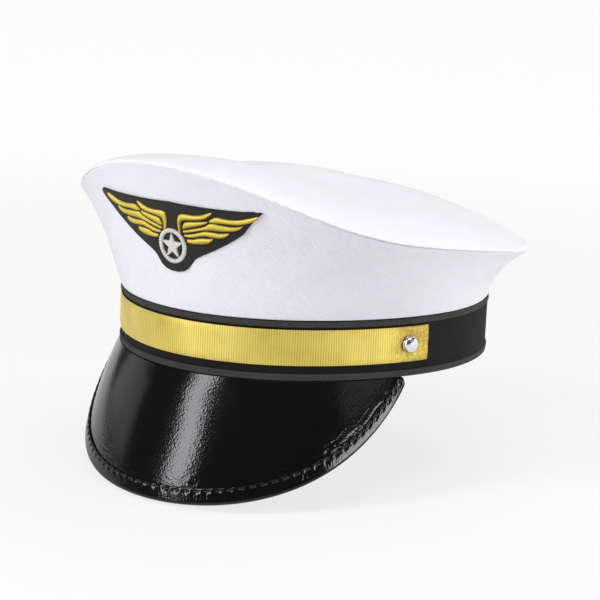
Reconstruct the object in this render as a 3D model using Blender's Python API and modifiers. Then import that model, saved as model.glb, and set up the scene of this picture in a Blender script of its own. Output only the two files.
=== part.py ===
"""Peaked cap: a white cloth crown over a black band, with a steep glossy visor, a gold ribbon strap
held by two studs, and a winged badge on the front.

Metres, +Z up. The cap faces -Y and +X is the wearer's left. The origin is the middle of the head
opening, in the plane of the band's lower rim. Angles run round the cap from the front towards +X.
"""

from math import cos, pi, radians, sin

import bmesh
import bpy
import numpy as np
from mathutils import Vector

# Fit
GAP = 0.0003                     # room between two pieces that touch

# Facets of the curved faces
SEGMENTS = 60                    # round the whole cap
VISOR_FINENESS = 1.5             # rulings of the visor for each facet of the band
SIDE_ROWS = 7
TOP_RINGS = (0, 0.035, 0.09, 0.2, 0.4, 0.65, 1)  # shares of the way from the rim to the middle
LINING_ROWS = 4
STAY_ROWS = 6
VISOR_ROWS = 5
PATCH_COLUMNS = 35
PATCH_ROWS = 5
FEATHER_POINTS = 6
RING_FACETS = 28
STUD_FACETS = 20
DOME_POINTS = 6

# Head oval: the inside of the sweatband seen from above
HEAD_LENGTH = 0.1944
HEAD_WIDTH = 0.1800
OVAL_TAPER = 0.0012              # how much rounder the back is than the front
OVAL_POINT = 0.0009              # how far front, back and sides are drawn out

# Band, from the head outwards
SWEATBAND_THICKNESS = 0.0010
SWEATBAND_HEIGHT = 0.0330
STIFFENER_THICKNESS = 0.0010
HATBAND_THICKNESS = 0.0007
BINDING_THICKNESS = 0.0007
BINDING_WIDTH = 0.0030

# Ribbon strap, which lies between the two bindings
RIBBON_WIDTH = 0.0174
RIBBON_THICKNESS = 0.0005
RIBBON_STANDOFF = 0.0007
RIBBON_ROOM_BELOW = 0.0042
RIBBON_ROOM_ABOVE = 0.0010
RIBBON_TAIL = 0.0110             # from a stud to the ribbon's cut end

# Studs that hold the ribbon
STUD_ANGLE = radians(68.4)
STUD_DIAMETER = 0.0085
STUD_RIM = 0.0005
STUD_DOME = 0.0024
SHANK_DIAMETER = 0.0030
SHANK_CLEARANCE = 0.0004
WASHER_DIAMETER = 0.0080
WASHER_THICKNESS = 0.0005

# Crown, measured from its lower edge; each row of values runs evenly from the front to the back
CROWN_RISE = (0.0733, 0.0570, 0.0396, 0.0319, 0.0245, 0.0226, 0.0223)
CROWN_FLARE = (0.0268, 0.0206, 0.0166, 0.0197, 0.0182)
CROWN_LOW_BULGE = (0.0040, 0.0012, 0.0002)
CROWN_HIGH_BULGE = (0.0082, 0.0047, 0.0029)
LOW_BULGE_PLACE = 0.15           # shares of the rise at which the two bulges act
HIGH_BULGE_PLACE = 0.60
TOP_CENTRE_RISE = 0.0448
TOP_DOME = 0.0114
TOP_ROLL = 0.0038                # how far the top stands up just inside its seam
TOP_FALL_POWER = 1.26
TOP_ROLL_POWER = 14
PANEL_THICKNESS = 0.0008
SEAM_DROP = 0.0016               # from the rim down to the side panels' upper edge
SIDE_SEAM_ANGLE = radians(110)
RIM_SHARE = 0.03                 # share of each panel over which its slope at the rim is taken

# Inside the crown
HOOP_DIAMETER = 0.0032
HOOP_CLEARANCE = 0.0005
STAY_THICKNESS = 0.0008
STAY_HALF_ANGLE = radians(36)
STAY_SPAN = (0.03, 0.78)         # shares of the side panel's height
LINING_THICKNESS = 0.0005
LINING_LEAVES_SIDE = 0.62        # where the lining crosses from the side panel to the top
LINING_TOP_RINGS = (0.14, 0.4, 0.7)

# Visor
VISOR_HALF_ANGLE = radians(66.5)
VISOR_LENGTH = 0.0619
VISOR_END_LENGTH = 0.0030
VISOR_FRONT_SLOPE = radians(69.5)
VISOR_END_SLOPE = radians(71.5)
VISOR_FULLNESS = 2.10
VISOR_BLUNTNESS = 0.96
VISOR_SPLAY = 0.23               # how far the sides turn away from straight ahead
VISOR_BOW = 0.0020
VISOR_SKIN_THICKNESS = 0.0006
VISOR_CORE_THICKNESS = 0.0010
VISOR_LINING_THICKNESS = 0.0005
EDGE_BINDING_WIDTH = 0.0068
EDGE_BINDING_THICKNESS = 0.0006
EDGE_NOSE = 0.0015               # how far the edge binding stands past the visor's edge
EDGE_SHOULDER = 0.4              # share of the nose at which its round begins
EDGE_CORNER_SHARE = 0.7          # most of the visor's length that the binding takes at its corners
STITCH_CORNER_SHARE = 0.5        # and where the thread then runs
STITCH_DIAMETER = 0.0008
STITCH_INSET = 0.0016            # from the binding's inner edge to the thread

# Badge, measured from the middle of its ring
BADGE_RISE = 0.0331              # from the crown's lower edge
BADGE_OFFSET = 0.0030            # towards the wearer's left, as it is sewn on
BADGE_HALF_SPAN = 0.0400
BADGE_TOP = 0.0220
BADGE_TIP_TOP = 0.0214
BADGE_WEDGE_DROP = 0.0106        # lower edge of the wings: how low it would meet in the middle
BADGE_WEDGE_SLOPE = 0.374
BADGE_WEDGE_BEND = 0.344         # how much steeper it has become at the tips, as a share
BADGE_LOBE_WIDTH = 0.0094
BADGE_LOBE_DROP = 0.0132
PATCH_THICKNESS = 0.0009
EMBLEM_THICKNESS = 0.0007
RING_HALF_WIDTH = 0.0078
RING_HALF_HEIGHT = 0.0091
RING_BREADTH = 0.0020
STAR_SHARE = 0.86                # of the room inside the ring
STAR_WAIST = 0.42
WING_START = 0.0012              # from the ring to the wing
WING_TIP = 0.0372
WING_ROOT_TOP = 0.0095
WING_ROOT_BOTTOM = 0.0010
WING_TIP_TOP = 0.0195
WING_ARCH = 0.0030
FEATHER_COUNT = 5
FEATHER_STEP = 0.0018

# Colours, as linear red, green and blue
WHITE_CLOTH = (0.86, 0.86, 0.88)
BLACK_CLOTH = (0.012, 0.012, 0.014)
GREY_BOARD = (0.20, 0.19, 0.18)
BLACK_VINYL = (0.006, 0.006, 0.008)
GOLD_RIBBON = (0.72, 0.48, 0.06)
GOLD_THREAD = (0.70, 0.46, 0.05)
BLACK_THREAD = (0.010, 0.010, 0.012)
SILVER_THREAD = (0.75, 0.75, 0.72)
CHARCOAL_FELT = (0.020, 0.020, 0.024)
CHROME = (0.78, 0.78, 0.80)
WHITE_LINING = (0.72, 0.72, 0.74)
WHITE_PLASTIC = (0.70, 0.70, 0.70)

# Where each layer's outer face lies, measured outwards from the head oval
SWEATBAND_OUTER = SWEATBAND_THICKNESS
STIFFENER_OUTER = SWEATBAND_OUTER + GAP + STIFFENER_THICKNESS
HATBAND_OUTER = STIFFENER_OUTER + GAP + HATBAND_THICKNESS
BINDING_OUTER = HATBAND_OUTER + GAP + BINDING_THICKNESS
RIBBON_OUTER = HATBAND_OUTER + RIBBON_STANDOFF + RIBBON_THICKNESS
STUD_SEAT = RIBBON_OUTER + SHANK_CLEARANCE
WASHER_OUTER = STIFFENER_OUTER
CROWN_OUTER = BINDING_OUTER
VISOR_OUTER = BINDING_OUTER

# Heights that follow from those sizes
RIBBON_BOTTOM = BINDING_WIDTH + RIBBON_ROOM_BELOW
RIBBON_TOP = RIBBON_BOTTOM + RIBBON_WIDTH
STUD_HEIGHT = (RIBBON_BOTTOM + RIBBON_TOP) / 2
BAND_HEIGHT = RIBBON_TOP + RIBBON_ROOM_ABOVE + BINDING_WIDTH
CROWN_BASE = BAND_HEIGHT + GAP
VISOR_TOP = -GAP
VISOR_STACK = VISOR_SKIN_THICKNESS + VISOR_CORE_THICKNESS + VISOR_LINING_THICKNESS + 2 * GAP
STAY_DEPTH = PANEL_THICKNESS + GAP
LINING_DEPTH = STAY_DEPTH + STAY_THICKNESS + GAP
PATCH_LIFT = GAP + PATCH_THICKNESS
EMBLEM_LIFT = PATCH_LIFT + GAP + EMBLEM_THICKNESS

PROBE = 0.0005                   # step used to measure a surface's direction
FULL_TURN = np.arange(SEGMENTS) * 2 * pi / SEGMENTS


def around(stations, angle):
    """Smooth value round the cap through stations spaced evenly from the front to the back."""
    order = np.arange(len(stations))
    waves = np.cos(np.outer(order * pi / order[-1], order))
    weights = np.linalg.solve(waves, np.array(stations))
    return sum(weight * np.cos(count * angle) for count, weight in zip(order, weights))


def oval_frame(angle):
    """Plan points of the head oval and the outward directions there."""
    mean = (HEAD_LENGTH + HEAD_WIDTH) / 4 - OVAL_POINT
    stretch = (HEAD_LENGTH - HEAD_WIDTH) / 4
    radius = mean + stretch * np.cos(2 * angle) + OVAL_TAPER * np.cos(3 * angle)
    radius = radius + OVAL_POINT * np.cos(4 * angle)
    slope = -2 * stretch * np.sin(2 * angle) - 3 * OVAL_TAPER * np.sin(3 * angle)
    slope = slope - 4 * OVAL_POINT * np.sin(4 * angle)
    points = np.stack([radius * np.sin(angle), -radius * np.cos(angle)], -1)
    along_x = slope * np.sin(angle) + radius * np.cos(angle)
    along_y = radius * np.sin(angle) - slope * np.cos(angle)
    outwards = np.stack([along_y, -along_x], -1) / np.hypot(along_x, along_y)[..., None]
    return points, outwards


def oval(angle, outset, height):
    """Points that stand off the head oval by an outset, at a height."""
    points, outwards = oval_frame(angle)
    plan = points + outwards * np.asarray(outset)[..., None]
    return np.concatenate([plan, np.broadcast_to(height, plan.shape[:-1])[..., None]], -1)


def crown_side(angle, up):
    """Outer face of the crown's side, from its lower edge (0) to the rim (1)."""
    rise = around(CROWN_RISE, angle)
    low, high, rim = 3 * up * (1 - up) ** 2, 3 * up ** 2 * (1 - up), up ** 3
    outset = low * around(CROWN_LOW_BULGE, angle) + high * around(CROWN_HIGH_BULGE, angle)
    outset = CROWN_OUTER + outset + rim * around(CROWN_FLARE, angle)
    height = CROWN_BASE + rise * (low * LOW_BULGE_PLACE + high * HIGH_BULGE_PLACE + rim)
    return oval(angle, outset, height)


def crown_top(angle, inwards):
    """Outer face of the crown's top, from the rim (0) to its centre (1)."""
    rim = crown_side(angle, 1.0)
    reach = np.maximum(1 - inwards, 0) + np.zeros_like(angle)
    centre = CROWN_BASE + TOP_CENTRE_RISE
    height = centre + (rim[..., 2] - centre) * reach ** TOP_FALL_POWER
    height = height + TOP_DOME * (1 - reach ** 2) + TOP_ROLL * (1 - reach ** TOP_ROLL_POWER)
    return np.concatenate([rim[..., :2] * reach[..., None], height[..., None]], -1)


def visor_length(angle):
    """Length of the visor from its root to its edge."""
    share = np.clip(1 - np.abs(angle / VISOR_HALF_ANGLE) ** VISOR_FULLNESS, 0, 1)
    return VISOR_END_LENGTH + (VISOR_LENGTH - VISOR_END_LENGTH) * share ** VISOR_BLUNTNESS


def visor_face(angle, up):
    """Outer face of the visor, from its outer edge (0) to its root under the band (1)."""
    length = visor_length(angle)
    slope = VISOR_FRONT_SLOPE + (VISOR_END_SLOPE - VISOR_FRONT_SLOPE) * (angle / VISOR_HALF_ANGLE) ** 2
    heading = oval_frame(angle)[1] * (1 + VISOR_SPLAY) - np.array([0, -1]) * VISOR_SPLAY
    heading = heading / np.linalg.norm(heading, axis=-1, keepdims=True)
    run = length * (1 - up)
    bow = VISOR_BOW * length / VISOR_LENGTH * 4 * up * (1 - up)
    outwards = run * np.cos(slope) + bow * np.sin(slope)
    drop = run * np.sin(slope) - bow * np.cos(slope)
    face = oval(angle, VISOR_OUTER, VISOR_TOP)
    face[..., :2] += heading * outwards[..., None]
    face[..., 2] -= drop
    return face


def unit(vectors):
    """Vectors cut to a length of one."""
    return vectors / np.linalg.norm(vectors, axis=-1, keepdims=True)


def normals(surface, angle, up):
    """Outward directions of a surface given by angle and height."""
    up = up + np.zeros_like(angle)
    across = surface(angle + PROBE, up) - surface(angle - PROBE, up)
    along = surface(angle, up + PROBE) - surface(angle, up - PROBE)
    return unit(np.cross(across, along))


def sunk(surface, angle, up, depth):
    """Points a depth under a surface, or over it where the depth is negative."""
    return surface(angle, up) - depth * normals(surface, angle, up)


def add_material(name, colour, roughness, metallic=0.0):
    """Plain Principled material."""
    material = bpy.data.materials.new(name)
    material.use_nodes = True
    shader = material.node_tree.nodes["Principled BSDF"]
    shader.inputs["Base Color"].default_value = (*colour, 1.0)
    shader.inputs["Roughness"].default_value = roughness
    shader.inputs["Metallic"].default_value = metallic
    material.diffuse_color = (*colour, 1.0)
    return material


def add_object(name, mesh, material, collection, origin=(0, 0, 0)):
    """Object of a finished mesh, with its origin at a place."""
    piece = bpy.data.objects.new(name, mesh)
    piece.location = origin
    mesh.materials.append(material)
    mesh.shade_smooth()
    mesh.set_sharp_from_angle(angle=radians(40))
    collection.objects.link(piece)
    return piece


def loft_mesh(name, rows, closed=False, origin=(0, 0, 0)):
    """Open sheet through rows of points; a closed one joins each row's end to its start."""
    count = len(rows[0])
    points = np.concatenate(rows) - np.array(origin)
    columns = count if closed else count - 1
    faces = []
    for row in range(len(rows) - 1):
        for column in range(columns):
            here = row * count + column
            beside = row * count + (column + 1) % count
            faces.append((here, beside, beside + count, here + count))
    mesh = bpy.data.meshes.new(name)
    mesh.from_pydata(points.tolist(), [], faces)
    sheet = bmesh.new()
    sheet.from_mesh(mesh)
    bmesh.ops.remove_doubles(sheet, verts=sheet.verts, dist=1e-6)
    sheet.to_mesh(mesh)
    sheet.free()
    return mesh


def add_sheet(name, rows, thickness, material, closed=False, origin=(0, 0, 0)):
    """Piece of even thickness whose outer face is a loft through the rows."""
    piece = add_object(name, loft_mesh(name, rows, closed, origin), material, parts, origin)
    solidify = piece.modifiers.new("thickness", "SOLIDIFY")
    solidify.thickness = thickness
    solidify.offset = -1
    solidify.use_even_offset = True
    return piece


def add_tube(name, path, diameter, material, cyclic=False):
    """Round wire or thread through points."""
    wire = bpy.data.curves.new(name, "CURVE")
    wire.dimensions = "3D"
    wire.bevel_depth = diameter / 2
    wire.bevel_resolution = 2
    wire.use_fill_caps = True
    spline = wire.splines.new("POLY")
    spline.points.add(len(path) - 1)
    for point, place in zip(spline.points, path):
        point.co = (*place, 1)
    spline.use_cyclic_u = cyclic
    wire.materials.append(material)
    parts.objects.link(bpy.data.objects.new(name, wire))


def add_hoop_band(name, outset, bottom, top, thickness, material):
    """Upright band right round the cap."""
    rows = [oval(FULL_TURN, outset, height) for height in (bottom, top)]
    return add_sheet(name, rows, thickness, material, closed=True)


def stud_frame(side):
    """Point on the head oval under a stud, its outward direction and its turn from local Z."""
    point, outwards = oval_frame(np.array([side * STUD_ANGLE]))
    heading = Vector((*outwards[0], 0))
    return Vector((*point[0], STUD_HEIGHT)), heading, heading.to_track_quat("Z", "Y")


def drill(piece, side, diameter):
    """Round hole through a piece on a stud's axis."""
    point, heading, turn = stud_frame(side)
    depth = 4 * STUD_SEAT
    tool = bmesh.new()
    radius = diameter / 2
    bmesh.ops.create_cone(
        tool, cap_ends=True, segments=STUD_FACETS, radius1=radius, radius2=radius, depth=depth
    )
    mesh = bpy.data.meshes.new(piece.name + "_drill")
    tool.to_mesh(mesh)
    tool.free()
    cutter = bpy.data.objects.new(mesh.name, mesh)
    cutter.location = point + heading * STUD_SEAT / 2
    cutter.rotation_mode = "QUATERNION"
    cutter.rotation_quaternion = turn
    cutter.hide_render = True
    cutter.display_type = "WIRE"
    cutters.objects.link(cutter)
    cut = piece.modifiers.new("hole", "BOOLEAN")
    cut.operation = "DIFFERENCE"
    cut.object = cutter


def add_turned(name, profile, material, side, outset):
    """Turned piece on a stud's axis; the profile holds radius and height, top to bottom."""
    mesh = bpy.data.meshes.new(name)
    edges = [(index, index + 1) for index in range(len(profile) - 1)]
    mesh.from_pydata([(radius, 0, height) for radius, height in profile], edges, [])
    point, heading, turn = stud_frame(side)
    piece = add_object(name, mesh, material, parts, point + heading * outset)
    piece.rotation_mode = "QUATERNION"
    piece.rotation_quaternion = turn
    screw = piece.modifiers.new("turn", "SCREW")
    screw.steps = STUD_FACETS
    screw.render_steps = STUD_FACETS
    screw.use_merge_vertices = True
    screw.merge_threshold = 0.00001
    return piece


def build_band():
    """Sweatband, stiffener, black cover and its two edge bindings."""
    add_hoop_band("sweatband", SWEATBAND_OUTER, 0, SWEATBAND_HEIGHT, SWEATBAND_THICKNESS, black_cloth)
    board = add_hoop_band("band_stiffener", STIFFENER_OUTER, 0, BAND_HEIGHT, STIFFENER_THICKNESS, grey_board)
    cover = add_hoop_band("hatband", HATBAND_OUTER, 0, BAND_HEIGHT, HATBAND_THICKNESS, black_cloth)
    for side in (1, -1):
        drill(board, side, WASHER_DIAMETER + 2 * SHANK_CLEARANCE)
        drill(cover, side, SHANK_DIAMETER + 2 * SHANK_CLEARANCE)
    upper = BAND_HEIGHT - BINDING_WIDTH
    add_hoop_band("band_upper_binding", BINDING_OUTER, upper, BAND_HEIGHT, BINDING_THICKNESS, black_cloth)
    add_hoop_band("band_lower_binding", BINDING_OUTER, 0, BINDING_WIDTH, BINDING_THICKNESS, black_cloth)


def build_ribbon():
    """Gold strap round the front, which turns about the line through both studs."""
    point, heading, _ = stud_frame(1)
    hole = point + heading * (RIBBON_OUTER - RIBBON_THICKNESS / 2)
    reach = STUD_ANGLE + RIBBON_TAIL / Vector((point.x, point.y)).length
    angles = np.linspace(-reach, reach, 2 * round(SEGMENTS * reach / (2 * pi)) + 1)
    rows = [oval(angles, RIBBON_OUTER, height) for height in (RIBBON_BOTTOM, RIBBON_TOP)]
    axis = (0, hole.y, STUD_HEIGHT)
    ribbon = add_sheet("gold_ribbon", rows, RIBBON_THICKNESS, gold_ribbon, origin=axis)
    for side in (1, -1):
        drill(ribbon, side, SHANK_DIAMETER + 2 * SHANK_CLEARANCE)


def build_studs():
    """Domed studs through the ribbon and the band, each held by a washer inside."""
    radius = STUD_DIAMETER / 2
    bend = np.linspace(0, pi / 2, DOME_POINTS)
    dome = [(radius * sin(turn), STUD_RIM + STUD_DOME * cos(turn)) for turn in bend]
    shank = SHANK_DIAMETER / 2
    end = WASHER_OUTER - WASHER_THICKNESS - STUD_SEAT
    stud_profile = dome + [(radius, 0), (shank, 0), (shank, end), (0, end)]
    hole = shank + SHANK_CLEARANCE
    rim = WASHER_DIAMETER / 2
    washer_profile = [(hole, 0), (rim, 0), (rim, -WASHER_THICKNESS), (hole, -WASHER_THICKNESS), (hole, 0)]
    for side, word in ((1, "left"), (-1, "right")):
        add_turned("side_stud_" + word, stud_profile, chrome, side, STUD_SEAT)
        add_turned("stud_washer_" + word, washer_profile, chrome, side, WASHER_OUTER)


def seam_height(angle):
    """Share of the side's height at which the side panels stop under the rim."""
    steep = np.linalg.norm(crown_side(angle, 1.0) - crown_side(angle, 1 - PROBE), axis=-1) / PROBE
    return 1 - SEAM_DROP / steep


def build_crown():
    """Cloth panels of the crown: a front and a back side panel under one top panel."""
    half_gap = GAP / HEAD_WIDTH
    spans = {
        "crown_side_front": (-SIDE_SEAM_ANGLE + half_gap, SIDE_SEAM_ANGLE - half_gap),
        "crown_side_back": (SIDE_SEAM_ANGLE + half_gap, 2 * pi - SIDE_SEAM_ANGLE - half_gap),
    }
    for name, (start, stop) in spans.items():
        angles = np.linspace(start, stop, round(SEGMENTS * (stop - start) / (2 * pi)) + 1)
        rows = [crown_side(angles, share * seam_height(angles)) for share in np.linspace(0, 1, SIDE_ROWS)]
        add_sheet(name, rows, PANEL_THICKNESS, white_cloth)
    rows = [crown_top(FULL_TURN, inwards) for inwards in TOP_RINGS]
    add_sheet("crown_top", rows, PANEL_THICKNESS, white_cloth, closed=True)


def build_crown_inside():
    """Hoop that holds the rim out, stay that holds the front up, and the lining."""
    rim = crown_side(FULL_TURN, 1.0)
    down_side = unit(crown_side(FULL_TURN, 1 - RIM_SHARE) - rim)
    across_top = unit(crown_top(FULL_TURN, RIM_SHARE) - rim)
    between = unit(down_side + across_top)
    half_angle = np.arccos(np.sum(down_side * between, axis=-1))
    stand_off = HOOP_DIAMETER / 2 + PANEL_THICKNESS + HOOP_CLEARANCE
    path = rim + between * (stand_off / np.sin(half_angle))[..., None]
    add_tube("crown_hoop", path, HOOP_DIAMETER, white_plastic, cyclic=True)

    half = round(SEGMENTS * STAY_HALF_ANGLE / (2 * pi))
    angles = np.linspace(-STAY_HALF_ANGLE, STAY_HALF_ANGLE, 2 * half + 1)
    rows = [sunk(crown_side, angles, up, STAY_DEPTH) for up in np.linspace(*STAY_SPAN, STAY_ROWS)]
    add_sheet("front_stay", rows, STAY_THICKNESS, white_plastic)

    shares = np.linspace(0, LINING_LEAVES_SIDE, LINING_ROWS)
    sides = [sunk(crown_side, FULL_TURN, up, LINING_DEPTH) for up in shares]
    tops = [sunk(crown_top, FULL_TURN, inwards, LINING_DEPTH) for inwards in LINING_TOP_RINGS]
    centre = crown_top(FULL_TURN, 1.0) - np.array([0, 0, LINING_DEPTH])
    add_sheet("crown_lining", sides + tops + [centre], LINING_THICKNESS, white_lining, closed=True)


def edge_section(angles):
    """Rows of the edge binding's outer face, from its top edge round the nose to its lower edge."""
    cover = GAP + EDGE_BINDING_THICKNESS
    length = visor_length(angles)
    width = np.minimum(EDGE_BINDING_WIDTH, EDGE_CORNER_SHARE * length)
    edge = visor_face(angles, 0.0)
    out = unit(edge - visor_face(angles, PROBE))
    raised = normals(visor_face, angles, 0.0)
    over = sunk(visor_face, angles, width / length, -cover)
    under = sunk(visor_face, angles, width / length, VISOR_STACK + cover)
    nose = (
        (EDGE_SHOULDER, cover),
        (1, -cover / 2),
        (1, cover / 2 - VISOR_STACK),
        (EDGE_SHOULDER, -cover - VISOR_STACK),
    )
    turned = [edge + out * EDGE_NOSE * reach + raised * lift for reach, lift in nose]
    return [under] + turned[::-1] + [over]


def visor_angles():
    """Angles of the visor's rulings, closer together than the facets of the band."""
    half = round(VISOR_FINENESS * SEGMENTS * VISOR_HALF_ANGLE / (2 * pi))
    return np.linspace(-VISOR_HALF_ANGLE, VISOR_HALF_ANGLE, 2 * half + 1)


def build_visor():
    """Glossy skin, board and lining of the visor, with a stitched binding round the edge."""
    angles = visor_angles()
    layers = (
        ("visor_skin", VISOR_SKIN_THICKNESS, black_vinyl),
        ("visor_core", VISOR_CORE_THICKNESS, grey_board),
        ("visor_lining", VISOR_LINING_THICKNESS, black_cloth),
    )
    depth = 0.0
    for name, thickness, material in layers:
        rows = [sunk(visor_face, angles, up, depth) for up in np.linspace(0, 1, VISOR_ROWS)]
        add_sheet(name, rows, thickness, material)
        depth += thickness + GAP
    add_sheet("visor_binding", edge_section(angles), EDGE_BINDING_THICKNESS, black_vinyl)


def build_visor_topstitch():
    """Thread that runs along the inner side of the visor's edge binding."""
    lift = 2 * GAP + EDGE_BINDING_THICKNESS + STITCH_DIAMETER / 2
    angles = visor_angles()[1:-1]
    length = visor_length(angles)
    share = np.minimum(EDGE_BINDING_WIDTH - STITCH_INSET, STITCH_CORNER_SHARE * length) / length
    add_tube("visor_topstitch", sunk(visor_face, angles, share, -lift), STITCH_DIAMETER, black_thread)


def on_crown(across, up, lift):
    """Points on the crown's front, across and up from the badge's centre and lifted off the cloth."""
    shares = np.linspace(0, 1, 101)
    upright = crown_side(np.zeros_like(shares), shares)[:, 2]
    middle = np.interp(CROWN_BASE + BADGE_RISE, upright, shares)
    radius = -crown_side(np.zeros(1), middle)[0, 1]
    angles = (np.asarray(across) + BADGE_OFFSET) / radius
    heights = CROWN_BASE + BADGE_RISE + np.asarray(up)
    places = []
    for angle, height in zip(angles, heights):
        column = crown_side(np.full_like(shares, angle), shares)[:, 2]
        places.append(np.interp(height, column, shares))
    return sunk(crown_side, angles, np.array(places), -lift)


def build_badge_patch():
    """Felt patch: a straight top, wings that narrow to the tips and a round lobe under the ring."""
    across = np.linspace(-BADGE_HALF_SPAN, BADGE_HALF_SPAN, PATCH_COLUMNS)
    share = np.abs(across) / BADGE_HALF_SPAN
    top = BADGE_TOP + (BADGE_TIP_TOP - BADGE_TOP) * share ** 2
    wedge = (BADGE_WEDGE_SLOPE + BADGE_WEDGE_BEND * share) * np.abs(across) - BADGE_WEDGE_DROP
    lobe = -BADGE_LOBE_DROP * np.sqrt(np.clip(1 - (across / BADGE_LOBE_WIDTH) ** 2, 0, 1))
    bottom = np.where(np.abs(across) < BADGE_LOBE_WIDTH, np.minimum(wedge, lobe), wedge)
    steps = np.linspace(0, 1, PATCH_ROWS)
    rows = [on_crown(across, bottom + (top - bottom) * step, PATCH_LIFT) for step in steps]
    add_sheet("badge_patch", rows, PATCH_THICKNESS, charcoal_felt)


def build_badge_wings():
    """Embroidered wings whose lower edge steps from feather to feather."""
    start = RING_HALF_WIDTH + WING_START
    share = np.linspace(0, 1, FEATHER_POINTS * FEATHER_COUNT + 1)
    reach = start + (WING_TIP - start) * share
    top = WING_ROOT_TOP + (WING_TIP_TOP - WING_ROOT_TOP) * share + WING_ARCH * np.sin(pi * share)
    tooth = 1 - (share * FEATHER_COUNT) % 1
    bottom = WING_ROOT_BOTTOM + (WING_TIP_TOP - FEATHER_STEP - WING_ROOT_BOTTOM) * share
    bottom = bottom - FEATHER_STEP * (1 - tooth) * (share < 1)
    for side, word in ((1, "left"), (-1, "right")):
        order = slice(None, None, side)
        rows = []
        for step in (0, 0.5, 1):
            height = bottom + (top - bottom) * step
            rows.append(on_crown(side * reach[order], height[order], EMBLEM_LIFT))
        add_sheet("badge_wing_" + word, rows, EMBLEM_THICKNESS, gold_thread)


def build_badge_ring():
    """Oval ring with a five-pointed star inside it."""
    turn = np.arange(RING_FACETS) * 2 * pi / RING_FACETS
    rows = []
    for inset in (0, RING_BREADTH):
        across = (RING_HALF_WIDTH - inset) * np.sin(turn)
        rows.append(on_crown(across, -(RING_HALF_HEIGHT - inset) * np.cos(turn), EMBLEM_LIFT))
    add_sheet("badge_ring", rows, EMBLEM_THICKNESS, silver_thread, closed=True)
    turn = np.arange(10) * pi / 5
    share = np.where(np.arange(10) % 2 == 0, 1, STAR_WAIST) * STAR_SHARE
    across = (RING_HALF_WIDTH - RING_BREADTH) * share * np.sin(turn)
    up = (RING_HALF_HEIGHT - RING_BREADTH) * share * np.cos(turn)
    outline = on_crown(across[::-1], up[::-1], EMBLEM_LIFT)
    middle = on_crown(np.zeros(10), np.zeros(10), EMBLEM_LIFT)
    add_sheet("badge_star", [middle, outline], EMBLEM_THICKNESS, silver_thread, closed=True)


for old in list(bpy.data.objects):
    bpy.data.objects.remove(old, do_unlink=True)
parts = bpy.data.collections.new("peaked_cap")
cutters = bpy.data.collections.new("cutters")
for group in (parts, cutters):
    bpy.context.scene.collection.children.link(group)

white_cloth = add_material("white_cloth", WHITE_CLOTH, 0.85)
black_cloth = add_material("black_cloth", BLACK_CLOTH, 0.85)
grey_board = add_material("grey_board", GREY_BOARD, 0.80)
black_vinyl = add_material("black_vinyl", BLACK_VINYL, 0.18)
gold_ribbon = add_material("gold_ribbon", GOLD_RIBBON, 0.35, 0.7)
gold_thread = add_material("gold_thread", GOLD_THREAD, 0.45, 0.3)
black_thread = add_material("black_thread", BLACK_THREAD, 0.55)
silver_thread = add_material("silver_thread", SILVER_THREAD, 0.50)
charcoal_felt = add_material("charcoal_felt", CHARCOAL_FELT, 0.95)
chrome = add_material("chrome", CHROME, 0.12, 1.0)
white_lining = add_material("white_lining", WHITE_LINING, 0.80)
white_plastic = add_material("white_plastic", WHITE_PLASTIC, 0.50)

build_band()
build_ribbon()
build_studs()
build_crown()
build_crown_inside()
build_visor()
build_visor_topstitch()
build_badge_patch()
build_badge_wings()
build_badge_ring()
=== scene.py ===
"""Looks of the peaked cap: cloth panels, ribbed ribbon, studs, grained visor and embroidered badge.

Metres, +Z up. The cap faces -Y and +X is the wearer's left. Angles run round the cap from the front
towards +X.
"""

from math import cos, pi, radians, sin

import bpy
import numpy as np
from mathutils import Matrix, Vector


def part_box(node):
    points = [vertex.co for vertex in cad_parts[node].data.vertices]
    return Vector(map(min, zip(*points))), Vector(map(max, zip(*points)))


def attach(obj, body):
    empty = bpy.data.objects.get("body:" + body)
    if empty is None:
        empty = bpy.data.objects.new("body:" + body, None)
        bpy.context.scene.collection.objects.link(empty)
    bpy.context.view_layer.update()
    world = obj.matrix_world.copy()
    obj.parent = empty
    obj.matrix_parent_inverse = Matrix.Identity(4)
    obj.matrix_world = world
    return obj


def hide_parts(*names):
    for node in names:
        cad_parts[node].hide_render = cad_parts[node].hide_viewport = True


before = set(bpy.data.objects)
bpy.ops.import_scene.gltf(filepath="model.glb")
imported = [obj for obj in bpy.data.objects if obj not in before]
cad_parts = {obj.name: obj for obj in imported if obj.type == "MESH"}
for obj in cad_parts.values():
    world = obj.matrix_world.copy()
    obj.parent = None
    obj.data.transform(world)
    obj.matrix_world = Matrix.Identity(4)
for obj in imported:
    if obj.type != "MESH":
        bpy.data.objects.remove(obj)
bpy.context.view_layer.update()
MM = 0.001
ROUND = 100  # millimetres round the cap for each radian

# Head oval
HEAD_LENGTH = 0.1944
HEAD_WIDTH = 0.1800
OVAL_TAPER = 0.0012
OVAL_POINT = 0.0009

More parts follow.
